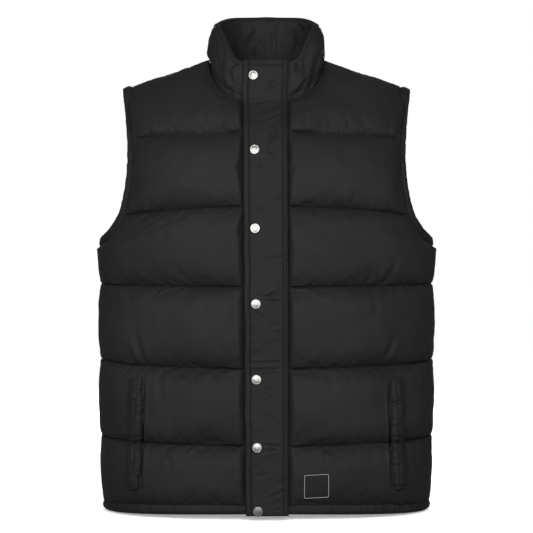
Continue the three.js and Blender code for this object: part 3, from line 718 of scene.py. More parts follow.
def tucks_along(rng, start, end, spacing, sizes, lean, first=None):
    """Tucks one after another along a seam: the place, the sizes and the lean of each."""
    middle = start + (rng.uniform(*first) if first else 0)
    while middle < end:
        yield middle, *(rng.uniform(*size) for size in sizes), rng.uniform(-lean, lean)
        middle += rng.uniform(*spacing)


def tucks(u, v, rng):
    """Depth of the tucks along the quilting lines, from the distances along and across a panel."""
    depth = np.zeros_like(u)
    for line in range(TOP_CHANNEL + 1):
        row = line * FINE_STEPS
        for step in (1, -1):
            if line == 0 and step < 0:
                continue
            rows = slice(row, row + FINE_STEPS + 1) if step > 0 else slice(row - FINE_STEPS, row + 1)
            for spacing, *sizes in TUCKS:
                made = tucks_along(rng, 0, u[row].max(), spacing, sizes, TUCK_LEAN, first=spacing)
                for middle, far, width, deep, lean in made:
                    near = np.abs(u[row] - middle) < 4 * width + far * abs(lean) * 2
                    up = np.abs(v[rows, near] - v[row, near])
                    off = (u[rows, near] - middle - lean * up) / width
                    fade = (1 - np.exp(-up / 1.3)) * np.exp(-((up / far) ** 1.5))
                    depth[rows, near] += deep * fade * np.exp(-(off**2))
    return depth


def edge_tucks(u, v, rng, from_side):
    """Depth of the tucks along a side edge: the distance u runs from one end of each row."""
    depth = np.zeros_like(u)
    inward = u[:, -1:] - u if from_side > 0 else u
    along = v[:, -1] if from_side > 0 else v[:, 0]
    for spacing, *sizes in TUCKS:
        ends = along.min(), along.max()
        made = tucks_along(rng, *ends, spacing, sizes, TUCK_LEAN, first=spacing)
        for middle, far, width, deep, lean in made:
            off = (along[:, None] - middle - lean * inward) / width
            fade = (1 - np.exp(-inward / 1.5)) * np.exp(-((inward / far) ** 1.5))
            depth += 0.7 * deep * fade * np.exp(-(off**2))
    return depth


# Pocket welts, on the wearer's left. The cut, in metres, has some more for the edges that turn down.
WELT = {
    "top": -458, "bottom": -617, "inner": 177.5, "outer": 197.5, "slant": 5, "cut": (0.025, 0.164),
}


BESIDE_WELT = {  # sizes: reach, width, depth
    "first": (0, 8), "spacing": (5, 15), "sizes": ((5, 15), (1.3, 2.6), (0.7, 2.2)), "lean": 0.5,
}


def welt_tucks(x, z, rng):
    """Depth of the short tucks in a front panel beside its pocket welt."""
    depth = np.zeros_like(x)
    lean = WELT["slant"] * (WELT["top"] - z) / (WELT["top"] - WELT["bottom"])
    for edge, way in (("inner", -1), ("outer", 1)):
        away = way * (np.abs(x) - WELT[edge] - lean)
        near = (away > -4) & (away < 30)
        made = tucks_along(rng, WELT["bottom"], WELT["top"], **BESIDE_WELT)
        for middle, far, width, deep, tilt in made:
            off = (z[near] - middle - tilt * away[near]) / width
            fade = np.exp(-((np.maximum(away[near], 0) / far) ** 1.4))
            depth[near] += deep * fade * np.exp(-(off**2))
    return depth


def creases(grid, table):
    """Height of listed creases: soft troughs with a low ridge on each side, tapered at both ends.
    Each is (x, z of one end, x, z of the other, width, depth)."""
    height = np.zeros(grid.shape[:2])
    x, z = grid[..., 0], grid[..., 2]
    for x0, z0, x1, z1, width, depth in table:
        long = math.hypot(x1 - x0, z1 - z0)
        along = ((x - x0) * (x1 - x0) + (z - z0) * (z1 - z0)) / long**2
        off = ((x - x0) * (z1 - z0) - (z - z0) * (x1 - x0)) / long / width
        taper = np.sin(np.pi * np.clip(along, 0, 1)) ** 0.7
        height += depth * taper * (0.45 * np.exp(-((np.abs(off) - 1.9) ** 2)) - np.exp(-(off**2)))
    return height


FRONT_RIGHT_CREASES = [  # the side that is on the left of the photo
    (-175.2, -452, -180.6, -622, 2.2, 4.2),
    (-189, -394, -176, -436, 4.5, 2.6),
    (-196, -418, -188, -440, 3.5, 1.5),
    (-228, -611, -166, -618, 2.6, 1.6),
    (-150, -232, -142, -262, 4, 1.3),
    (-184, -222, -166, -252, 5, 1.6),
    (-62, -205, -78, -178, 5, 1.0),
    (-95, -345, -84, -372, 5, 1.1),
    (-120, -318, -128, -290, 4.5, 1.0),
    (-52, -432, -66, -412, 4, 1.0),
    (-205, -330, -190, -352, 5, 1.2),
    (-150, -455, -152, -492, 5, 1.3),
    (-46, -100, -60, -84, 4, 1.1),
    (-144, -560, -136, -588, 4.5, 1.2),
]
FRONT_LEFT_CREASES = [
    (175.2, -452, 180.6, -622, 2.2, 4.2),
    (186, -292, 167, -326, 4.2, 2.4),
    (183, -400, 169, -434, 4, 2.6),
    (166, -613, 230, -607, 2.6, 1.6),
    (45, -305, 57, -322, 4, 1.6),
    (38, -418, 46, -432, 3, 1.7),
    (90, -452, 96, -482, 5, 1.0),
    (120, -216, 126, -188, 5, 1.0),
    (150, -336, 158, -366, 5, 1.2),
    (40, -522, 52, -514, 2.6, 1.4),
    (52, -92, 72, -76, 4.5, 1.1),
    (176, -238, 160, -262, 5, 1.3),
    (40, -180, 50, -170, 3, 1.0),
]
BACK_CREASES = [
    (-150, -246, -130, -276, 5, 1.4),
    (168, -240, 146, -268, 5, 1.5),
    (-40, -458, -52, -490, 5.5, 1.2),
    (84, -352, 96, -388, 5.5, 1.3),
    (-196, -340, -178, -372, 5, 1.5),
    (120, -566, 110, -598, 5, 1.2),
    (-96, -132, -84, -160, 5, 1.2),
    (44, -238, 38, -266, 5, 1.0),
    (190, -452, 176, -484, 5, 1.5),
]


def dressed(name, table, seed):
    """The finished outer grid of a panel: finer, with its tucks and creases."""
    side = "back" if name == "back" else "front"
    columns = FINE_COLUMNS[side] * (2 if side == "back" else 1)
    outer = finer(shells[name], columns)
    inner = finer(inners[name], columns)
    if side == "front":
        outer, inner = drawn_in(outer, name), drawn_in(inner, name)
    u, v = lengths(outer)
    rng = np.random.default_rng(seed)
    height = -tucks(u, v, rng)
    ends = (1,) if name == "front_left" else (-1,) if name == "front_right" else (1, -1)
    for end in ends:
        height -= edge_tucks(u, v, rng, end)
    if side == "front":
        height -= 0.5 * edge_tucks(u, v, rng, -ends[0])
    height += 0.55 * waves(u, v, 55, seed) + 0.2 * waves(u, v, 21, seed + 1)
    height += creases(outer, table)
    if side == "front":
        height -= welt_tucks(outer[..., 0], outer[..., 2], rng)
    normals = grid_normals(outer)
    wall = np.linalg.norm(outer - inner, axis=-1)
    height *= soft_step(wall, 3.8, 8.5)
    in_from_edge = soft_step(np.minimum(u, u[:, -1:] - u), 1, 9)
    height -= GROOVE_DEPTH * np.exp(-from_lines(v) / GROOVE_WIDTH) * in_from_edge
    outer = outer + normals * height[..., None]
    if side == "front":
        first = 0 if name == "front_left" else -1
        shares = np.linspace(SEAM_GAP / 2 / FLAT_HALF_WIDTH, 1, 6)[:-1]
        flat = outer[:, first, None], inner[:, first, None]
        strips = []
        for thick, edge in zip((UNDER_PLACKET_THICKNESS, 0), flat):
            x = edge[..., :1] * shares[:, None]
            z = np.repeat(edge[..., 2:], len(shares), 1)
            y = on_torso(x[..., 0], z[..., 0], "front")[..., 1:2] - thick
            strips.append(np.concatenate([x, y, z], -1))
        if first:
            strips = [s[:, ::-1] for s in strips]
            outer = np.concatenate([outer, strips[0]], 1)
            inner = np.concatenate([inner, strips[1]], 1)
        else:
            outer = np.concatenate([strips[0], outer], 1)
            inner = np.concatenate([strips[1], inner], 1)
    return outer, inner


def sharpen_lines(mesh, shape, placket_column):
    """Marks the edges along the quilting lines and the placket, so that the shading breaks there."""
    ends = np.empty(2 * len(mesh.edges), np.int32)
    mesh.edges.foreach_get("vertices", ends)
    row, column = np.divmod(ends.reshape(-1, 2), shape[1])
    on_line = (row[:, 0] == row[:, 1]) & (row[:, 0] % FINE_STEPS == 0)
    on_line |= (column == placket_column).all(1)
    on_line &= (row[:, 0] > 0) & (row[:, 0] < shape[0] - 1)
    sharp = mesh.attributes.new("sharp_edge", "BOOLEAN", "EDGE")
    sharp.data.foreach_set("value", on_line)


# Column of each panel that lies along the placket's edge. The back has none, and takes its first.
PLACKET_COLUMN = {"front_left": 5, "front_right": -6, "back": 0}

panels = {}
for name, table, seed in (
    ("front_left", FRONT_LEFT_CREASES, 11),
    ("front_right", FRONT_RIGHT_CREASES, 23),
    ("back", BACK_CREASES, 37),
):
    outer, inner = dressed(name, table, seed)
    row_keys, column_keys = np.arange(outer.shape[0]), np.arange(outer.shape[1])
    few_rows, few_columns = thinned(len(row_keys), FINE_STEPS // 6), thinned(len(column_keys), 3)
    points, faces, uv = closed_shell(
        outer, inner[np.ix_(few_rows, few_columns)],
        (row_keys, few_rows), (column_keys, few_columns),
    )
    piece = make(f"quilted_{name}", points, faces, uv, SHELL)
    sharpen_lines(piece.data, outer.shape, PLACKET_COLUMN[name] % outer.shape[1])
    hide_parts(name)
    panels[name] = {"outer": outer, "inner": inner, "piece": piece}


# Swept pieces: collar, armhole bands and hem band
def section_through(controls, counts):
    """Fine points of a section: a curve through the control points, then straight along the inside."""
    curve = curve_through(controls, np.linspace(0, controls.shape[0] - 1, counts[0]))
    s = np.linspace(0, 1, counts[1] + 2)[1:-1]
    s = s.reshape(-1, *[1] * (controls.ndim - 1))
    return np.concatenate([curve, lerp(curve[-1:], curve[:1], s)])


def tube_normals(rings):
    """Outward directions of a closed section's points, station by station."""
    wrapped = np.concatenate([rings[:, -1:], rings, rings[:, :1]], 1)
    return grid_normals(wrapped)[:, 1:-1]


def signed_volume(rings):
    a, b = rings[:-1], rings[1:]
    a2, b2 = np.roll(a, -1, 1), np.roll(b, -1, 1)
    dot = lambda p, q, r: (p * np.cross(q, r)).sum()
    return dot(a, a2, b2) + dot(a, b2, b)


def outward(rings):
    """The rings in the order in which their faces point outwards, and whether that is reversed."""
    return (rings, False) if signed_volume(rings) > 0 else (rings[:, ::-1], True)


COLLAR_TOP = np.array([  # angle round the neck from the centre front, height
    (0, 0), (26, 0.5), (36, 8), (50, 33), (66, 53), (90, 64.5), (135, 81.5), (180, 85.5),
])
COLLAR_TOP_HALF_WIDTH, COLLAR_TOP_REACH = 68, {"front": 68, "back": 60}
COLLAR = {"thickness": 12, "foot": 2.4, "top": 8, "under_placket": 5, "fade": 18}
CURVED_SEAM_GAP = 0.6
COLLAR_SECTION = 151
COLLAR_POINTS = {"flat": 15, "front": 48, "back": 56}  # along each stretch of half a neckline
COLLAR_AT_SHOULDER = COLLAR_POINTS["flat"] + COLLAR_POINTS["front"] - 1


def collar_rings():
    neck_start = neck_angle(FLAT_HALF_WIDTH)
    foot_z = neckline(neck_start, "front")[2]
    flat_x = np.linspace(SEAM_GAP / 2, FLAT_HALF_WIDTH, COLLAR_POINTS["flat"] + 1)[:-1]
    flat = on_torso(flat_x, foot_z, "front")
    front = neckline(np.linspace(neck_start, np.pi / 2, 400), "front")
    back = neckline(np.linspace(np.pi / 2, 0, 400), "back")
    front = arc_spaced(front, COLLAR_POINTS["front"])
    back = arc_spaced(back, COLLAR_POINTS["back"])
    front[-1, 1] = 0
    p = np.concatenate([flat, front, back[1:]])
    normals = np.concatenate([
        torso_normal(flat, "front"), torso_normal(front, "front"), torso_normal(back[1:], "back"),
    ])
    normals[COLLAR_AT_SHOULDER] *= [1, 0, 1]
    for _ in range(6):
        normals[1:-1] = unit(normals[:-2] + 2 * normals[1:-1] + normals[2:])
    along = np.gradient(p, axis=0)
    along[0], along[-1] = (1, 0, 0), (-1, 0, 0)
    for _ in range(4):
        along[1:-1] = (along[:-2] + 2 * along[1:-1] + along[2:]) / 4
    into_neck = unit(np.cross(normals, along))
    base = p + into_neck * CURVED_SEAM_GAP
    sine = np.clip(p[:, 0] / NECK_HALF_WIDTH, 0, 1) ** (NECK_POWER / 2)
    in_front = np.arange(len(p)) <= COLLAR_AT_SHOULDER
    angle = np.where(in_front, np.arcsin(sine), np.pi - np.arcsin(sine))
    reach_out = np.where(in_front, -COLLAR_TOP_REACH["front"], COLLAR_TOP_REACH["back"])
    top = np.stack([
        np.minimum(COLLAR_TOP_HALF_WIDTH * sine ** (2 / NECK_POWER), p[:, 0]),
        reach_out * np.abs(np.cos(angle)) ** (2 / NECK_POWER),
        smooth(COLLAR_TOP, 1, np.degrees(angle)),
    ], -1)
    rise = top - base
    out = unit(np.cross(along, rise))
    past = np.where(in_front, p[:, 0] - FLAT_HALF_WIDTH, 1e3)
    fullness = rounded(past / COLLAR["fade"], 2)
    t = lerp(COLLAR["under_placket"], COLLAR["thickness"], fullness)
    foot = np.where(past <= 0, UNDER_PLACKET_THICKNESS, COLLAR["foot"])
    cap = COLLAR["top"] / np.linalg.norm(rise, axis=-1)

    def at(share, height):
        share, height = np.broadcast_to(share, cap.shape), np.broadcast_to(height, cap.shape)
        return base + rise * share[:, None] + out * height[:, None]

    controls = np.stack([
        base + normals * foot[:, None],
        at(0.14, lerp(foot, t, 0.12)),
        at(0.3, lerp(foot, t, 0.75)),
        at(0.55, t),
        at(0.8, t * 0.94),
        at(1 - cap * 0.35, t * 0.8),
        at(1, t * 0.45),
        at(1 - cap * 0.35, t * 0.12),
        at(1 - cap, 0),
        at(0.5, 0),
        base,
    ])
    rings = section_through(controls, (COLLAR_SECTION, 1)).swapaxes(0, 1)
    return np.concatenate([rings, rings[-2::-1] * [-1, 1, 1]])


COLLAR_FRONT_CREASES = [
    (-54, -9, -40, 2, 3.2, 2.4),
    (-40, -4, -38, -58, 4.0, 1.4),
    (-60, -10, -50, -36, 4.5, 1.3),
    (-72, 34, -60, 2, 6, 1.3),
    (35, 3, 49, -6, 2.8, 2.2),
    (49, -2, 41, -18, 2.6, 1.8),
    (64, -21, 44, -50, 3.0, 1.6),
    (77, 14, 69, -17, 5, 1.1),
    (52, -14, 60, 10, 4, 1.0),
    (-46, -30, -56, -48, 3.5, 1.0),
]
COLLAR_INSIDE_CREASES = [
    (14.5, 78, 13, 24, 1.5, 1.1),
    (45, 73, 58, 58, 3, 1.5),
    (-30, 40, -12, 68, 4.5, 1.2),
    (-52, 52, -38, 30, 4, 1.1),
    (30, 26, 44, 52, 4.5, 1.3),
    (-8, 20, -22, 44, 5, 1.0),
]
TOPSTITCH = {"depth": 1.7, "width": 0.85}
COLLAR_ROWS = {"top": 8, "foot": 8.5}  # stitches from the top edge and from the neck seam


def groove(distance, deeper=1):
    """A narrow V-shaped groove along a line of stitches."""
    return -deeper * TOPSTITCH["depth"] * np.exp(-np.abs(distance) / TOPSTITCH["width"])


COLLAR_TUCKS = {  # sizes: width, reach, depth
    "first": (5, 12), "spacing": (5, 14), "sizes": ((1.2, 2.8), (4, 12), (0.3, 1.1)), "lean": 0.6,
}


def collar_tucks(u, from_row):
    """Depth of the short tucks beside a row of stitches round the collar."""
    depth = np.zeros_like(u)
    rng = np.random.default_rng(91)
    for middle, width, far, deep, lean in tucks_along(rng, 0, u.max(), **COLLAR_TUCKS):
        off = (u - middle - lean * from_row) / width
        off_row = np.abs(from_row) / far
        depth += deep * (1 - np.exp(-np.abs(from_row) / 1.2)) * np.exp(-(off_row**1.5) - off**2)
    return depth


def collar_piece():
    rings, flipped = outward(collar_rings())
    normals = tube_normals(rings)
    across = lengths(rings)[0]
    count = rings.shape[1]
    outside = np.arange(count) < 0.6 * COLLAR_SECTION
    if flipped:
        outside = outside[::-1]
    inside = ~outside
    u = np.cumsum(np.append(0, np.linalg.norm(np.diff(rings[:, count // 2], axis=0), axis=-1)))
    u = np.broadcast_to(u[:, None], across.shape)
    height = 0.9 * waves(u, across, 42, 5) + 0.4 * waves(u, across, 17, 6)
    front = rings[..., 1] < 0
    fold = 1.7 * creases(rings, COLLAR_FRONT_CREASES)
    height += np.where(front & outside, fold, 0)
    fold = 2.2 * creases(rings, COLLAR_INSIDE_CREASES)
    height += np.where(~front & inside, fold, 0)
    # A row of topstitching below the top edge and another above the neck seam.
    top = rings[:, np.argmax(rings[len(rings) // 2, :, 2])]
    from_top = np.linalg.norm(rings - top[:, None], axis=-1)
    foot = rings[:, -1 if flipped else 0]
    from_foot = np.linalg.norm(rings - foot[:, None], axis=-1)
    height *= soft_step(from_top, 2, 12)
    height += groove(from_top - COLLAR_ROWS["top"])
    height += np.where(outside, groove(from_foot - COLLAR_ROWS["foot"]), 0)
    height -= np.where(outside, collar_tucks(u, from_foot - COLLAR_ROWS["foot"]), 0)
    near_foot = np.where(outside, soft_step(from_foot, 1, 6), soft_step(from_foot, 3, 9))
    under = soft_step(np.abs(rings[..., 0]), FLAT_HALF_WIDTH - 3, FLAT_HALF_WIDTH + 4)
    under = np.where(front & outside, under, 1)
    rings = rings + normals * (height * near_foot * under)[..., None]
    points, faces, uv = tube(rings, closes=False)
    piece = make("quilted_collar", points, faces, uv, SHELL)
    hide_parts("collar")
    rows = []
    for distance, far in ((from_top, COLLAR_ROWS["top"]), (from_foot, COLLAR_ROWS["foot"])):
        for face in (outside, inside):
            if distance is from_foot and face is inside:
                continue
            picked = np.argmin(np.where(face, np.abs(distance - far), 1e9), 1)
            at = np.arange(len(rings)), picked
            rows.append((rings[at], tube_normals(rings)[at]))
    return rings, outside, rows


collar_grid, collar_outside, collar_stitches = collar_piece()


def band_section(base, width, normal, t, controls, counts=(27, 3)):
    """Section points of a band: width and normal are directions, controls are (share, height)."""
    at = lambda share, height: base + width * share + normal * (t * height)[:, None]
    return section_through(np.stack([at(*c) for c in controls]), counts).swapaxes(0, 1)


ARMHOLE_STITCH_ROW = 4.6  # from the seam
ARMHOLE_OUTER_POINTS = 22  # of the section, from the seam to past the finished edge


def armhole_band(sign):
    v = np.linspace(TOP_CHANNEL + 1, ARMPIT_ROW, 120)
    parts = []
    for side, rows in (("front", v), ("back", v[-2:0:-1])):
        sewn = side_edge(np.where(rows == ARMPIT_ROW, ARMPIT_ROW + 1e-9, rows), side)
        edge = armhole_edge(armhole_share_of_row(rows, side), side)
        parts.append((sewn, edge, torso_normal(sewn, side)))
    sewn, edge, normal = (np.concatenate(p) for p in zip(*parts))
    for i in (0, len(v) - 1):
        sewn[i, 1] = edge[i, 1] = normal[i, 1] = 0
    for _ in range(3):
        normal = unit(np.roll(normal, 1, 0) + 2 * normal + np.roll(normal, -1, 0))
    along = np.roll(sewn, -1, 0) - np.roll(sewn, 1, 0)
    away = unit(np.cross(along, normal))
    away *= np.sign((away * (edge - sewn)).sum(-1, keepdims=True))
    start = sewn + away * CURVED_SEAM_GAP
    u = np.cumsum(np.linalg.norm(along, axis=-1) / 2)
    swell = 1 + 0.10 * waves(u, 0 * u, 15, 7 + sign) + 0.05 * waves(u, 0 * u, 7, 9 + sign)
    controls = [(0, 0.45), (0.25, 1), (0.6, 1), (1, 0.85), (1.1, 0.45), (1, 0)]
    rings = band_section(start, edge - start, normal, BAND_THICKNESS * swell, controls)
    closing = np.concatenate([rings, rings[:1]])
    share = np.linalg.norm(rings - rings[:, :1], axis=-1)
    outer_half = np.arange(rings.shape[1]) < ARMHOLE_OUTER_POINTS
    up = tube_normals(closing)[:-1]
    facing = np.sign((up[:, 8] * normal).sum(-1)).mean()
    from_row = share - ARMHOLE_STITCH_ROW
    rings = rings + facing * up * np.where(outer_half, groove(from_row), 0)[..., None]
    picked = np.argmin(np.where(outer_half, np.abs(from_row), 1e9), 1)
    line = rings[np.arange(len(rings)), picked]
    stitch = (np.concatenate([line, line[:1]]), np.concatenate([normal, normal[:1]]))
    if sign < 0:
        rings = rings * [-1, 1, 1]
        stitch = tuple(s * [-1, 1, 1] for s in stitch)
    if signed_volume(np.concatenate([rings, rings[:1]])) < 0:
        rings = rings[:, ::-1]
    name = "left" if sign > 0 else "right"
    points, faces, uv = tube(rings, closes=True)
    piece = make(f"binding_armhole_{name}", points, faces, uv, TRIM)
    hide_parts(f"armhole_band_{name}")
    return stitch


band_stitches = [armhole_band(1), armhole_band(-1)]

HEM_BOTTOM = {"front": -650.5, "side": -657.5, "back": -658}
HEM_THICKNESS = 6.5
HEM_TUCK = 0.5  # how far the band reaches up under the panels
HEM_POINTS = {"flat": 11, "rest": 110}  # under the placket, and from there to the side seam
HEM_FLAT_TO_FULL = (35, 44)  # x


def hem_band():
    shares = np.linspace(0, 1, HEM_POINTS["rest"])
    parts = []
    for side in ("front", "back"):
        p = half_panel(side, np.array([0.0, 1.0]), shares)[0]
        if side == "front":
            flat_x = np.linspace(SEAM_GAP / 2, FLAT_HALF_WIDTH, HEM_POINTS["flat"] + 1)[:-1]
            flat = on_torso(flat_x, p[0, 2], side)
            p = np.concatenate([flat, p])
        share = np.clip(p[:, 0] / p[-1, 0], 0, 1) ** 2
        bottom = lerp(HEM_BOTTOM[side], HEM_BOTTOM["side"], share)
        parts.append((p, torso_normal(p, side), bottom))
    p, normal, bottom = (np.concatenate([f, b[-2::-1]]) for f, b in zip(*parts))
    corner = HEM_POINTS["flat"] + HEM_POINTS["rest"] - 1
    p[corner, 1] = 0
    normal[:, 2] = 0
    normal[corner, 1] = 0
    normal = unit(normal)
    p = np.concatenate([p, p[-2::-1] * [-1, 1, 1]])
    normal = np.concatenate([normal, normal[-2::-1] * [-1, 1, 1]])
    bottom = np.concatenate([bottom, bottom[-2::-1]])
    u = np.append(0, np.cumsum(np.linalg.norm(np.diff(p, axis=0), axis=-1)))
    swell = 1 + 0.09 * waves(u, 0 * u, 17, 31) + 0.06 * waves(u, 0 * u, 8, 32)
    flat = np.where(p[:, 1] < 0, soft_step(np.abs(p[:, 0]), *HEM_FLAT_TO_FULL), 1)
    t = lerp(UNDER_PLACKET_THICKNESS, HEM_THICKNESS * swell, flat)
    base = p + [0, 0, HEM_TUCK]
    down = np.stack([0 * u, 0 * u, bottom - base[:, 2]], -1)
    at = lambda out, share: base + down * share + normal * (t * out)[:, None]
    shape = [(0, 0), (0.7, 0), (1, 0.3), (0.95, 0.7), (0.4, 1), (0, 1)]
    controls = np.stack([at(*s) for s in shape])
    rings, _ = outward(section_through(controls, (26, 3)).swapaxes(0, 1))
    points, faces, uv = tube(rings, closes=False)
    piece = make("binding_hem", points, faces, uv, TRIM)
    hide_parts("hem_band")


hem_band()


# Placket
PLACKET_CREASES = [
    (-1, -127, 20, -107, 2.0, 1.5),
    (-5, -133, 14, -139, 1.8, 1.0),
    (8, -75, 26, -62, 2.4, 1.2),
    (-8, -94, 19, -79, 2.6, 0.9),
    (-20, -66, 4, -58, 2.6, 0.9),
    (-4, -44, 16, -30, 3.0, 0.9),
    (-12, -150, -4, -160, 2.4, 0.8),
    (12, -205, 26, -196, 2.2, 0.9),
    (-2, -343, 21, -332, 2.0, 1.5),
    (-4, -347, 20, -348, 1.8, 1.2),
    (-16, -362, -6, -372, 2.4, 0.7),
    (-28, -435, 24, -434, 1.8, 1.0),
    (-25, -445, 21, -443.5, 1.5, 1.4),
    (-4, -468, 8, -478, 2.4, 0.7),
    (-7, -550, 24, -555, 2.0, 1.2),
    (-2, -560, 20, -558, 2.0, 0.9),
    (0, -628, 26, -616, 2.4, 0.9),
    (-18, -596, 6, -592, 3.0, 0.6),
    (16, -290, 27, -282, 2.4, 0.7),
    (14, -392, 27, -400, 2.4, 0.7),
    (-20, -218, -2, -222, 3.0, 0.6),
]
SNAP_RADIUS = 7.3
SNAPS = [
    (-18.8, -21.7), (-16.8, -131.9), (-16, -244.5), (-15, -351.6),
    (-14.3, -458.8), (-13.2, -555.1), (-12, -645),
]


def blurred(values, passes, axis=0):
    """Values smoothed along an axis, with the ends kept."""
    values = np.moveaxis(values.copy(), axis, 0)
    for _ in range(passes):
        values[1:-1] = (values[:-2] + 2 * values[1:-1] + values[2:]) / 4
    return np.moveaxis(values, 0, axis)


def under_placket(x, z):
    """Depth y of the surface that the placket lies on: the front edges, the collar and the hem."""
    neck_start = neck_angle(FLAT_HALF_WIDTH)
    foot_z = neckline(neck_start, "front")[2]
    low_z = np.clip(z, HEM_BOTTOM["front"], foot_z)
    panel = on_torso(x, low_z, "front")[..., 1] - UNDER_PLACKET_THICKNESS
    stations = COLLAR_POINTS["flat"]
    outer = collar_grid[:stations + 1][:, collar_outside]
    outer = outer[:, np.argsort(outer[0, :, 2])]
    station = np.clip(np.abs(x) / FLAT_HALF_WIDTH * stations, 0, stations - 0.001)
    i = station.astype(int)
    depth = np.empty_like(z)
    tables = [(o[:, 2], o[:, 1]) for o in outer]
    for k in range(stations):
        here = i == k
        low, high = (np.interp(z[here], *tables[k + j]) for j in (0, 1))
        depth[here] = lerp(low, high, station[here] - k)
    return np.where(z > foot_z, depth, panel)


def crowded(length, stops, step=1.6, beside=(0, 0.3, 0.7, 1.2)):
    """Distances from 0 to a length, closer together beside some of them."""
    at = [d for d in np.arange(0, length, step) if min(abs(d - s) for s in stops) > 1.5]
    at += [s + sign * d for s in stops for d in beside for sign in (1, -1)]
    return np.unique(np.append(at, length))


PLACKET_ROWS = {"free": (8.2,), "sewn": (1.9, 6.6), "top": (8.6,)}  # stitches from each edge


PLACKET_TUCKS = {  # sizes: reach, width, depth
    "spacing": (7, 22), "sizes": ((3, 9), (1.1, 2.3), (0.25, 0.85)), "lean": 0.6,
}
TUCKS_FROM_ENDS = 10


def placket_piece():
    length = PLACKET["top"] - PLACKET["bottom"]
    z = PLACKET["top"] - crowded(length, PLACKET_ROWS["top"])[::-1]
    up = (z - PLACKET["bottom"]) / -PLACKET["bottom"]
    free, sewn = (lerp(*PLACKET_EDGES[k], up)[:, None] for k in ("free", "sewn"))
    wobble = 0.5 * waves(z, 0 * z, 60, 3)[:, None]
    near_free = free + wobble + crowded(PLACKET["half"], PLACKET_ROWS["free"])
    near_sewn = sewn + wobble * 0.4 - crowded(PLACKET["half"], PLACKET_ROWS["sewn"])
    x = np.concatenate([near_free, near_sewn[:, ::-1]], 1)
    zz = np.broadcast_to(z[:, None], x.shape)
    y = blurred(under_placket(x, zz), 24)
    base = np.stack([x, y, zz], -1)
    normals = grid_normals(base)
    inner = base + normals * PLACKET["clearance"]
    from_free, from_sewn = x - x[:, :1], x[:, -1:] - x
    from_top, from_bottom = PLACKET["top"] - zz, zz - PLACKET["bottom"]
    to_edge = np.minimum(np.minimum(from_free, from_sewn), np.minimum(from_top, from_bottom))
    thickness = lerp(PLACKET["edge"], PLACKET["middle"], rounded(to_edge / 3.2, 2))
    top_row, = PLACKET_ROWS["top"]
    last_rows = PLACKET_ROWS["free"][-1], PLACKET_ROWS["sewn"][-1]
    rows = [from_free - d for d in PLACKET_ROWS["free"]]
    rows += [from_sewn - d for d in PLACKET_ROWS["sewn"]]
    for row in rows:
        thickness = thickness + groove(row, 1.3)
    between = (from_free > last_rows[0]) & (from_sewn > last_rows[1])
    thickness = thickness + groove(from_top - top_row) * between
    wrinkles = 2.0 * creases(base, PLACKET_CREASES)
    wrinkles += 0.35 * waves(zz, x, 34, 13) + 0.18 * waves(zz, x, 12, 14)
    rng = np.random.default_rng(51)
    for seam in (from_free - last_rows[0], from_sewn - last_rows[1]):
        ends = PLACKET["bottom"] + TUCKS_FROM_ENDS, PLACKET["top"] - TUCKS_FROM_ENDS
        for middle, far, width, deep, lean in tucks_along(rng, *ends, **PLACKET_TUCKS):
            inward = np.maximum(seam, 0)
            off = (zz - middle - lean * inward) / width
            wrinkles -= deep * inward / far * np.exp(1 - inward / far) * np.exp(-(off**2))
    calm = np.ones_like(x)
    for sx, sz in SNAPS:
        far = np.hypot(x - sx, zz - sz)
        calm = np.minimum(calm, soft_step(far, SNAP_RADIUS, SNAP_RADIUS + 6))
        wrinkles -= 0.9 * np.exp(-(((far - SNAP_RADIUS - 1) / 2.5) ** 2)) * (far > SNAP_RADIUS)
    border = soft_step(to_edge, 0.5, 5)
    thickness = thickness + wrinkles * np.maximum(calm, 0.0) * border
    outer = inner + normals * thickness[..., None]
    keys = np.arange(len(z)), np.arange(x.shape[1])
    few = thinned(len(z), 8), thinned(x.shape[1], 5)
    points, faces, uv = closed_shell(
        outer, inner[np.ix_(*few)], (keys[0], few[0]), (keys[1], few[1])
    )
    piece = make("placket_flap", points, faces, uv, TRIM)
    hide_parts("placket")
    width = PLACKET_EDGES["sewn"][0] - PLACKET_EDGES["free"][0]
    facing = grid_normals(outer)
    lines = []
    for row in rows:
        picked = np.argmin(np.abs(row), 1)
        at = np.arange(len(z))[3:-3], picked[3:-3]
        lines.append((outer[at], facing[at]))
    i = np.argmin(np.abs(z - (PLACKET["top"] - top_row)))
    inside = (from_free[i] > last_rows[0] + 0.2) & (from_sewn[i] > last_rows[1] + 0.2)
    lines.append((outer[i, inside], facing[i, inside]))
    return outer, facing, lines


placket_grid, placket_normals, placket_stitches = placket_piece()


# Snap caps: a rolled rim round a slightly dished centre
SNAP_PROFILE = np.array([  # radius, height
    (6.6, 0.0), (7.1, 0.25), (7.3, 0.8), (7.2, 1.35), (6.9, 1.75), (6.5, 2.0), (6.1, 2.1),
    (5.7, 2.08), (5.2, 2.1), (4.4, 2.28), (3.4, 2.46), (2.2, 2.58), (1.0, 2.63),
])


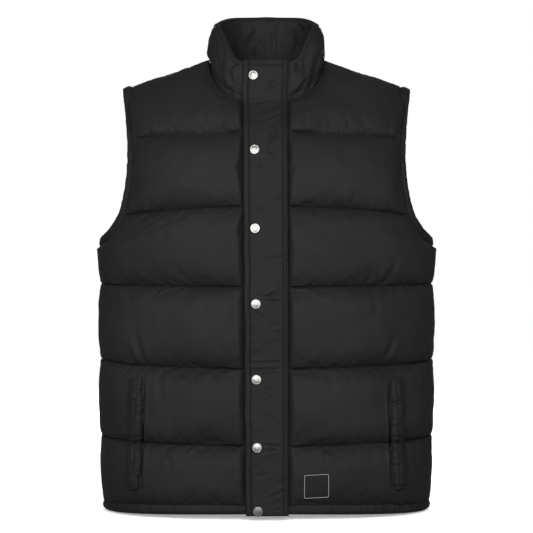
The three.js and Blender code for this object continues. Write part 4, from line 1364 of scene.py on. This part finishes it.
def snap_caps():
    sides = 56
    turn = np.linspace(0, 2 * np.pi, sides, endpoint=False)
    for number, (x, z) in enumerate(SNAPS, 1):
        far = np.hypot(placket_grid[..., 0] - x, placket_grid[..., 2] - z)
        near = far < SNAP_RADIUS * 1.1
        facing = unit(placket_normals[near].mean(0))
        seat = placket_grid[near].mean(0)
        middle = np.array([x, seat[1], z])
        height = ((placket_grid[near] - middle) @ facing).max()
        middle = middle + facing * (height - 0.12)
        right = unit(np.cross([0, 0, 1], facing))
        up = np.cross(facing, right)
        fine = curve_through(SNAP_PROFILE, np.linspace(0, len(SNAP_PROFILE) - 1, 40))
        rings = [
            middle + facing * h + r * (np.cos(turn)[:, None] * right + np.sin(turn)[:, None] * up)
            for r, h in fine
        ]
        top = middle + facing * SNAP_PROFILE[-1, 1]
        points = np.concatenate(rings + [top[None], middle[None]])
        index = np.arange(len(fine) * sides).reshape(len(fine), sides)
        index = np.concatenate([index, index[:, :1]], 1)
        tip, bottom = len(points) - 2, len(points) - 1
        faces = quads(index)
        faces += [(a, b, tip) for a, b in zip(index[-1][:-1], index[-1][1:])]
        faces += [(b, a, bottom) for a, b in zip(index[0][:-1], index[0][1:])]
        uv = np.zeros((len(points), 2))
        piece = make(f"snap_{number}", points, faces, uv, METAL)
        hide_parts(f"snap_cap_{number}")


snap_caps()


# Pocket welts, patch and sewing
def tree_of(piece):
    mesh = piece.data
    points = [v.co.copy() for v in mesh.vertices]
    return BVHTree.FromPolygons(points, [tuple(p.vertices) for p in mesh.polygons])


def front_depth(tree, x, z):
    """Depth y, in millimetres, of the foremost surface at each x and z."""
    depth = np.empty(x.size)
    for i, (px, pz) in enumerate(zip(x.ravel(), z.ravel())):
        hit = tree.ray_cast(Vector((px * MM, -1, pz * MM)), Vector((0, 1, 0)))[0]
        depth[i] = hit.y / MM
    return depth.reshape(x.shape)


def laid_on(tree, x, z, passes):
    """Points of a small piece that lies on a surface and bridges its finest dents."""
    on = front_depth(tree, x, z)
    smoothed = blurred(blurred(on, passes), passes, axis=1)
    return np.stack([x, blurred(np.minimum(on, smoothed), 2), z], -1)


def flat_piece(name, base, clearance, thickness, skip, material):
    """A closed piece over a grid of points, thickness in millimetres out from the surface."""
    normals = grid_normals(base)
    inner = base + normals * clearance
    outer = inner + normals * thickness[..., None]
    keys = np.arange(base.shape[0]), np.arange(base.shape[1])
    few = [thinned(len(k), skip) for k in keys]
    points, faces, uv = closed_shell(
        outer, inner[np.ix_(*few)], (keys[0], few[0]), (keys[1], few[1])
    )
    return make(name, points, faces, uv, material), outer, grid_normals(outer)


trees = {name: tree_of(panels[name]["piece"]) for name in ("front_left", "front_right")}
WELT_ROWS = {"opening": 5.2, "side": 1.6}  # stitches from each edge
WELT_EDGE_TUCKS = {  # sizes: reach, width, depth
    "spacing": (5, 15), "sizes": ((4, 10), (1.0, 2.0), (0.4, 1.5)), "lean": 0.6,
}
WELT_TUCKS = [  # z, depth of each tuck across the welt
    (-548, 2.2), (-541, 1.3), (-556, 1.3), (-463, 1.0), (-612, 1.0),
]


def welt(name, sign):
    """A pocket welt on a front panel, raised along its opening. Gives its lines of stitches."""
    rows, columns = 200, 40
    z = np.linspace(WELT["bottom"], WELT["top"], rows)
    share = np.linspace(0, 1, columns)
    lean = WELT["slant"] * (WELT["top"] - z) / (WELT["top"] - WELT["bottom"])
    width = WELT["outer"] - WELT["inner"] + 0.8 * waves(z, 0 * z, 38, 63 + sign)
    from_opening = width[:, None] * share
    shift = lean + 0.5 * waves(z, 0 * z, 44, 61 + sign)
    x = sign * (WELT["inner"] + shift[:, None] + from_opening)
    zz = np.broadcast_to(z[:, None], x.shape)
    if sign < 0:
        x, from_opening = x[:, ::-1], from_opening[:, ::-1]
    base = laid_on(trees[name], x, zz, 14)
    from_side = width[:, None] - from_opening
    to_end = np.minimum(zz - WELT["bottom"], WELT["top"] - zz)
    fall = soft_step(from_side, -1, 13)
    raised = rounded(from_opening / 3.5, 2) * fall * lerp(0.45, 1, rounded(to_end / 12, 2))
    thickness = 1.2 + 6.0 * raised
    side_row, opening_row = from_side - WELT_ROWS["side"], from_opening - WELT_ROWS["opening"]
    thickness += groove(side_row, 0.5) + groove(opening_row, 0.6) * (to_end > 6)
    thickness += 0.5 * waves(zz, x, 26, 71 + sign) + 0.3 * waves(zz, x, 9, 72 + sign)
    rng = np.random.default_rng(75 + sign)
    for edge in (from_side, from_opening):
        ends = WELT["bottom"] + 4, WELT["top"] - 4
        for middle, far, across, deep, lean in tucks_along(rng, *ends, **WELT_EDGE_TUCKS):
            off = (zz - middle - lean * edge) / across
            thickness -= deep * np.exp(-edge / far) * np.exp(-(off**2))
    for tuck, deep in WELT_TUCKS:
        off = (zz - tuck - 0.25 * from_side + 2) / 2.0
        thickness -= deep * np.exp(-(off**2))
    thickness = np.maximum(thickness, 0.5)
    piece, outer, facing = flat_piece(
        f"pocket_flap_{name[6:]}", base, 0.3, thickness, 4, TRIM
    )
    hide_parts(f"pocket_welt_{name[6:]}")
    lines = []
    for row in (opening_row, side_row):
        picked = np.argmin(np.abs(row), 1)
        at = np.arange(rows)[5:-5], picked[5:-5]
        lines.append((outer[at], facing[at]))
    for i in (4, 8, rows - 9, rows - 5):
        lines.append((outer[i, 2:-2], facing[i, 2:-2]))
    return lines


welt_stitches = welt("front_left", 1) + welt("front_right", -1)

PATCH = {"x": 70.6, "z": -608.7, "width": 36.5, "height": 34.5, "tilt": 0.045, "corner": 3.0}


def patch():
    """A small square patch with rounded corners, sewn on with a light grey border."""
    count = 60
    s = np.linspace(-0.5, 0.5, count)
    a, b = np.meshgrid(s * PATCH["height"], s * PATCH["width"], indexing="ij")
    half = np.array([PATCH["width"], PATCH["height"]]) / 2
    corner = PATCH["corner"]
    for first, second, h1, h2 in ((b, a, half[0], half[1]), (a, b, half[1], half[0])):
        over = np.maximum(np.abs(second) - (h2 - corner), 0)
        inset = corner - np.sqrt(np.maximum(corner**2 - over**2, 0))
        first *= (h1 - 0.55 * inset) / h1
    x = PATCH["x"] + b
    z = PATCH["z"] + a + PATCH["tilt"] * b
    base = laid_on(trees["front_left"], x, z, 30)
    to_edge = np.minimum(half[0] - np.abs(b), half[1] - np.abs(a))
    thickness = lerp(0.6, 1.1, rounded(to_edge / 0.8, 2))
    border = np.exp(-(((to_edge - 1.5) / 0.5) ** 2))
    thickness += 0.04 * waves(a, b, 9, 81) - 0.25 * border
    piece, outer, facing = flat_piece(
        "bare_patch", base, 0.3, thickness, 5, PATCH_CLOTH
    )
    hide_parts("patch")
    inset = 2
    ring = [(i, inset) for i in range(inset, count - inset)]
    ring += [(count - 1 - inset, j) for j in range(inset, count - inset)]
    ring += [(i, count - 1 - inset) for i in range(count - 1 - inset, inset - 1, -1)]
    ring += [(inset, j) for j in range(count - 1 - inset, inset - 1, -1)]
    i, j = np.array(ring).T
    return outer[i, j], facing[i, j]


patch_border = patch()


STITCH = {"length": 2.9, "gap": 0.9, "radius": 0.2, "lift": -0.02, "dip": 0.3}


def stitched(name, lines, material, size=STITCH):
    """Stitches along lines of (points, normals), as one mesh of short rounded threads."""
    centres, ways, ups = [], [], []
    step = size["length"] + size["gap"]
    for points, normals in lines:
        far = np.append(0, np.cumsum(np.linalg.norm(np.diff(points, axis=0), axis=-1)))
        count = int(far[-1] / step)
        if not count:
            continue
        at = (np.arange(count) + 0.5) * far[-1] / count
        read = lambda values, where: np.stack(
            [np.interp(where, far, values[:, k]) for k in range(3)], -1
        )
        start, end = read(points, at - size["length"] / 2), read(points, at + size["length"] / 2)
        centres.append((start + end) / 2)
        ways.append(end - start)
        ups.append(read(normals, at))
    centre, way, up = (np.concatenate(a) for a in (centres, ways, ups))
    side = unit(np.cross(way, up))
    up = unit(np.cross(side, way))
    sides = 5
    turn = np.linspace(0, 2 * np.pi, sides, endpoint=False)
    rings = []
    for along, radius, rise in (
        (-0.5, 0.25, -1), (-0.38, 0.9, -0.1), (0, 1.0, 0.25), (0.38, 0.9, -0.1), (0.5, 0.25, -1)
    ):
        height = size["lift"] + rise * size["dip"]
        middle = centre + way * along + up * height
        for t in turn:
            r = size["radius"] * radius
            rings.append(middle + side * r * math.cos(t) + up * r * math.sin(t))
    points = np.stack(rings, 1)
    count, each = points.shape[:2]
    index = np.arange(each).reshape(5, sides)
    around = np.concatenate([index, index[:, :1]], 1)
    template = quads(around)
    ends = [tuple(index[0][::-1]), tuple(index[-1])]
    faces = []
    for i in range(count):
        faces += [tuple(k + i * each for k in face) for face in template + ends]
    piece = make(name, points.reshape(-1, 3), faces, np.zeros((count * each, 2)), material)
    return piece


quilting = []
for name in ("front_left", "front_right", "back"):
    outer = panels[name]["outer"]
    facing = grid_normals(outer)
    visible = slice(None)
    if name != "back":
        visible = slice(6, None) if name == "front_left" else slice(None, -6)
    for line in range(1, TOP_CHANNEL + 1):
        row = line * FINE_STEPS
        quilting.append((outer[row, visible], facing[row, visible]))
stitched("stitching_quilting", quilting, THREAD)
stitched(
    "stitching_edges",
    placket_stitches + collar_stitches + band_stitches + welt_stitches, THREAD,
)
stitched(
    "stitching_patch", [patch_border], GREY_THREAD,
    {**STITCH, "length": 2.1, "gap": 0.12, "radius": 0.46, "lift": 0.2, "dip": 0.16},
)


# Stage, lights and camera
FLOOR_Z = -0.6595
scene = bpy.context.scene


def seen_and_unseen(tree, unseen, seen, output):
    """What the camera sees directly, and what everything else gets, as one shader."""
    direct = add_node(tree, "ShaderNodeLightPath").outputs["Is Camera Ray"]
    both = add_node(tree, "ShaderNodeMixShader", {0: direct, 1: unseen, 2: seen})
    tree.links.new(both.outputs[0], tree.nodes[output].inputs["Surface"])


def stage_floor():
    """A white floor that throws little light up at the vest."""
    size = 30
    corners = [(-size, -size), (size, -size), (size, size), (-size, size)]
    mesh = bpy.data.meshes.new("floor")
    mesh.from_pydata([(x, y, FLOOR_Z) for x, y in corners], [], [(0, 1, 2, 3)])
    floor = bpy.data.objects.new("floor", mesh)
    scene.collection.objects.link(floor)
    material, tree, shader = nodes_of("pale_floor")
    shader.inputs["Base Color"].default_value = (0.8, 0.8, 0.8, 1)
    shader.inputs["Roughness"].default_value = 1.0
    shader.inputs["Specular IOR Level"].default_value = 0.0
    shader.inputs["Emission Color"].default_value = (1, 1, 1, 1)
    shader.inputs["Emission Strength"].default_value = 0.33
    dull = add_node(tree, "ShaderNodeBsdfDiffuse", {"Color": (0.12, 0.12, 0.12, 1)})
    seen_and_unseen(tree, dull.outputs[0], shader.outputs[0], "Material Output")
    mesh.materials.append(material)
    return floor


def lamp(name, kind, place, aim, energy, **settings):
    light = bpy.data.lights.new(name, kind)
    light.energy = energy
    for key, value in settings.items():
        setattr(light, key, value)
    holder = bpy.data.objects.new(name, light)
    holder.location = place
    holder.rotation_euler = (Vector(aim) - Vector(place)).to_track_quat("-Z", "Y").to_euler()
    scene.collection.objects.link(holder)
    return holder


floor = stage_floor()
world = bpy.data.worlds.new("studio")
world.use_nodes = True
scene.world = world
sky = world.node_tree
dim = sky.nodes["Background"]
dim.inputs["Color"].default_value = (1, 1, 1, 1)
dim.inputs["Strength"].default_value = 0.14
white = add_node(sky, "ShaderNodeBackground", {"Color": (1, 1, 1, 1), "Strength": 1.0})
seen_and_unseen(sky, dim.outputs[0], white.outputs[0], "World Output")

# One light falls on the floor alone, so that it is as pale as the background.
only_floor = bpy.data.collections.new("floor_alone")
only_floor.objects.link(floor)
floor_light = lamp("floor_light", "SUN", (0, -3, 2), (0, 0, -0.7), 3.3, angle=math.radians(70))
floor_light.light_linking.receiver_collection = only_floor
SOFT_LIGHTS = (  # name, place, power
    ("key", (-0.5, -1.55, 0.02), 14.5),
    ("fill", (0.5, -1.55, 0.02), 10),
    ("back_left", (0.4, 2.1, 0.2), 14),
    ("back_right", (-0.4, 2.1, 0.2), 11),
)
for name, place, energy in SOFT_LIGHTS:
    lamp(name, "AREA", place, (0, 0, -0.2), energy, shape="RECTANGLE", size=0.7, size_y=0.9)

camera = bpy.data.cameras.new("camera")
camera.lens = 103.6
camera.sensor_width = 36
shot = bpy.data.objects.new("camera", camera)
shot.location = (0, -2.3, -0.2985)
shot.rotation_euler = (math.pi / 2, 0, 0)
scene.collection.objects.link(shot)
scene.camera = shot
scene.view_settings.view_transform = "Standard"
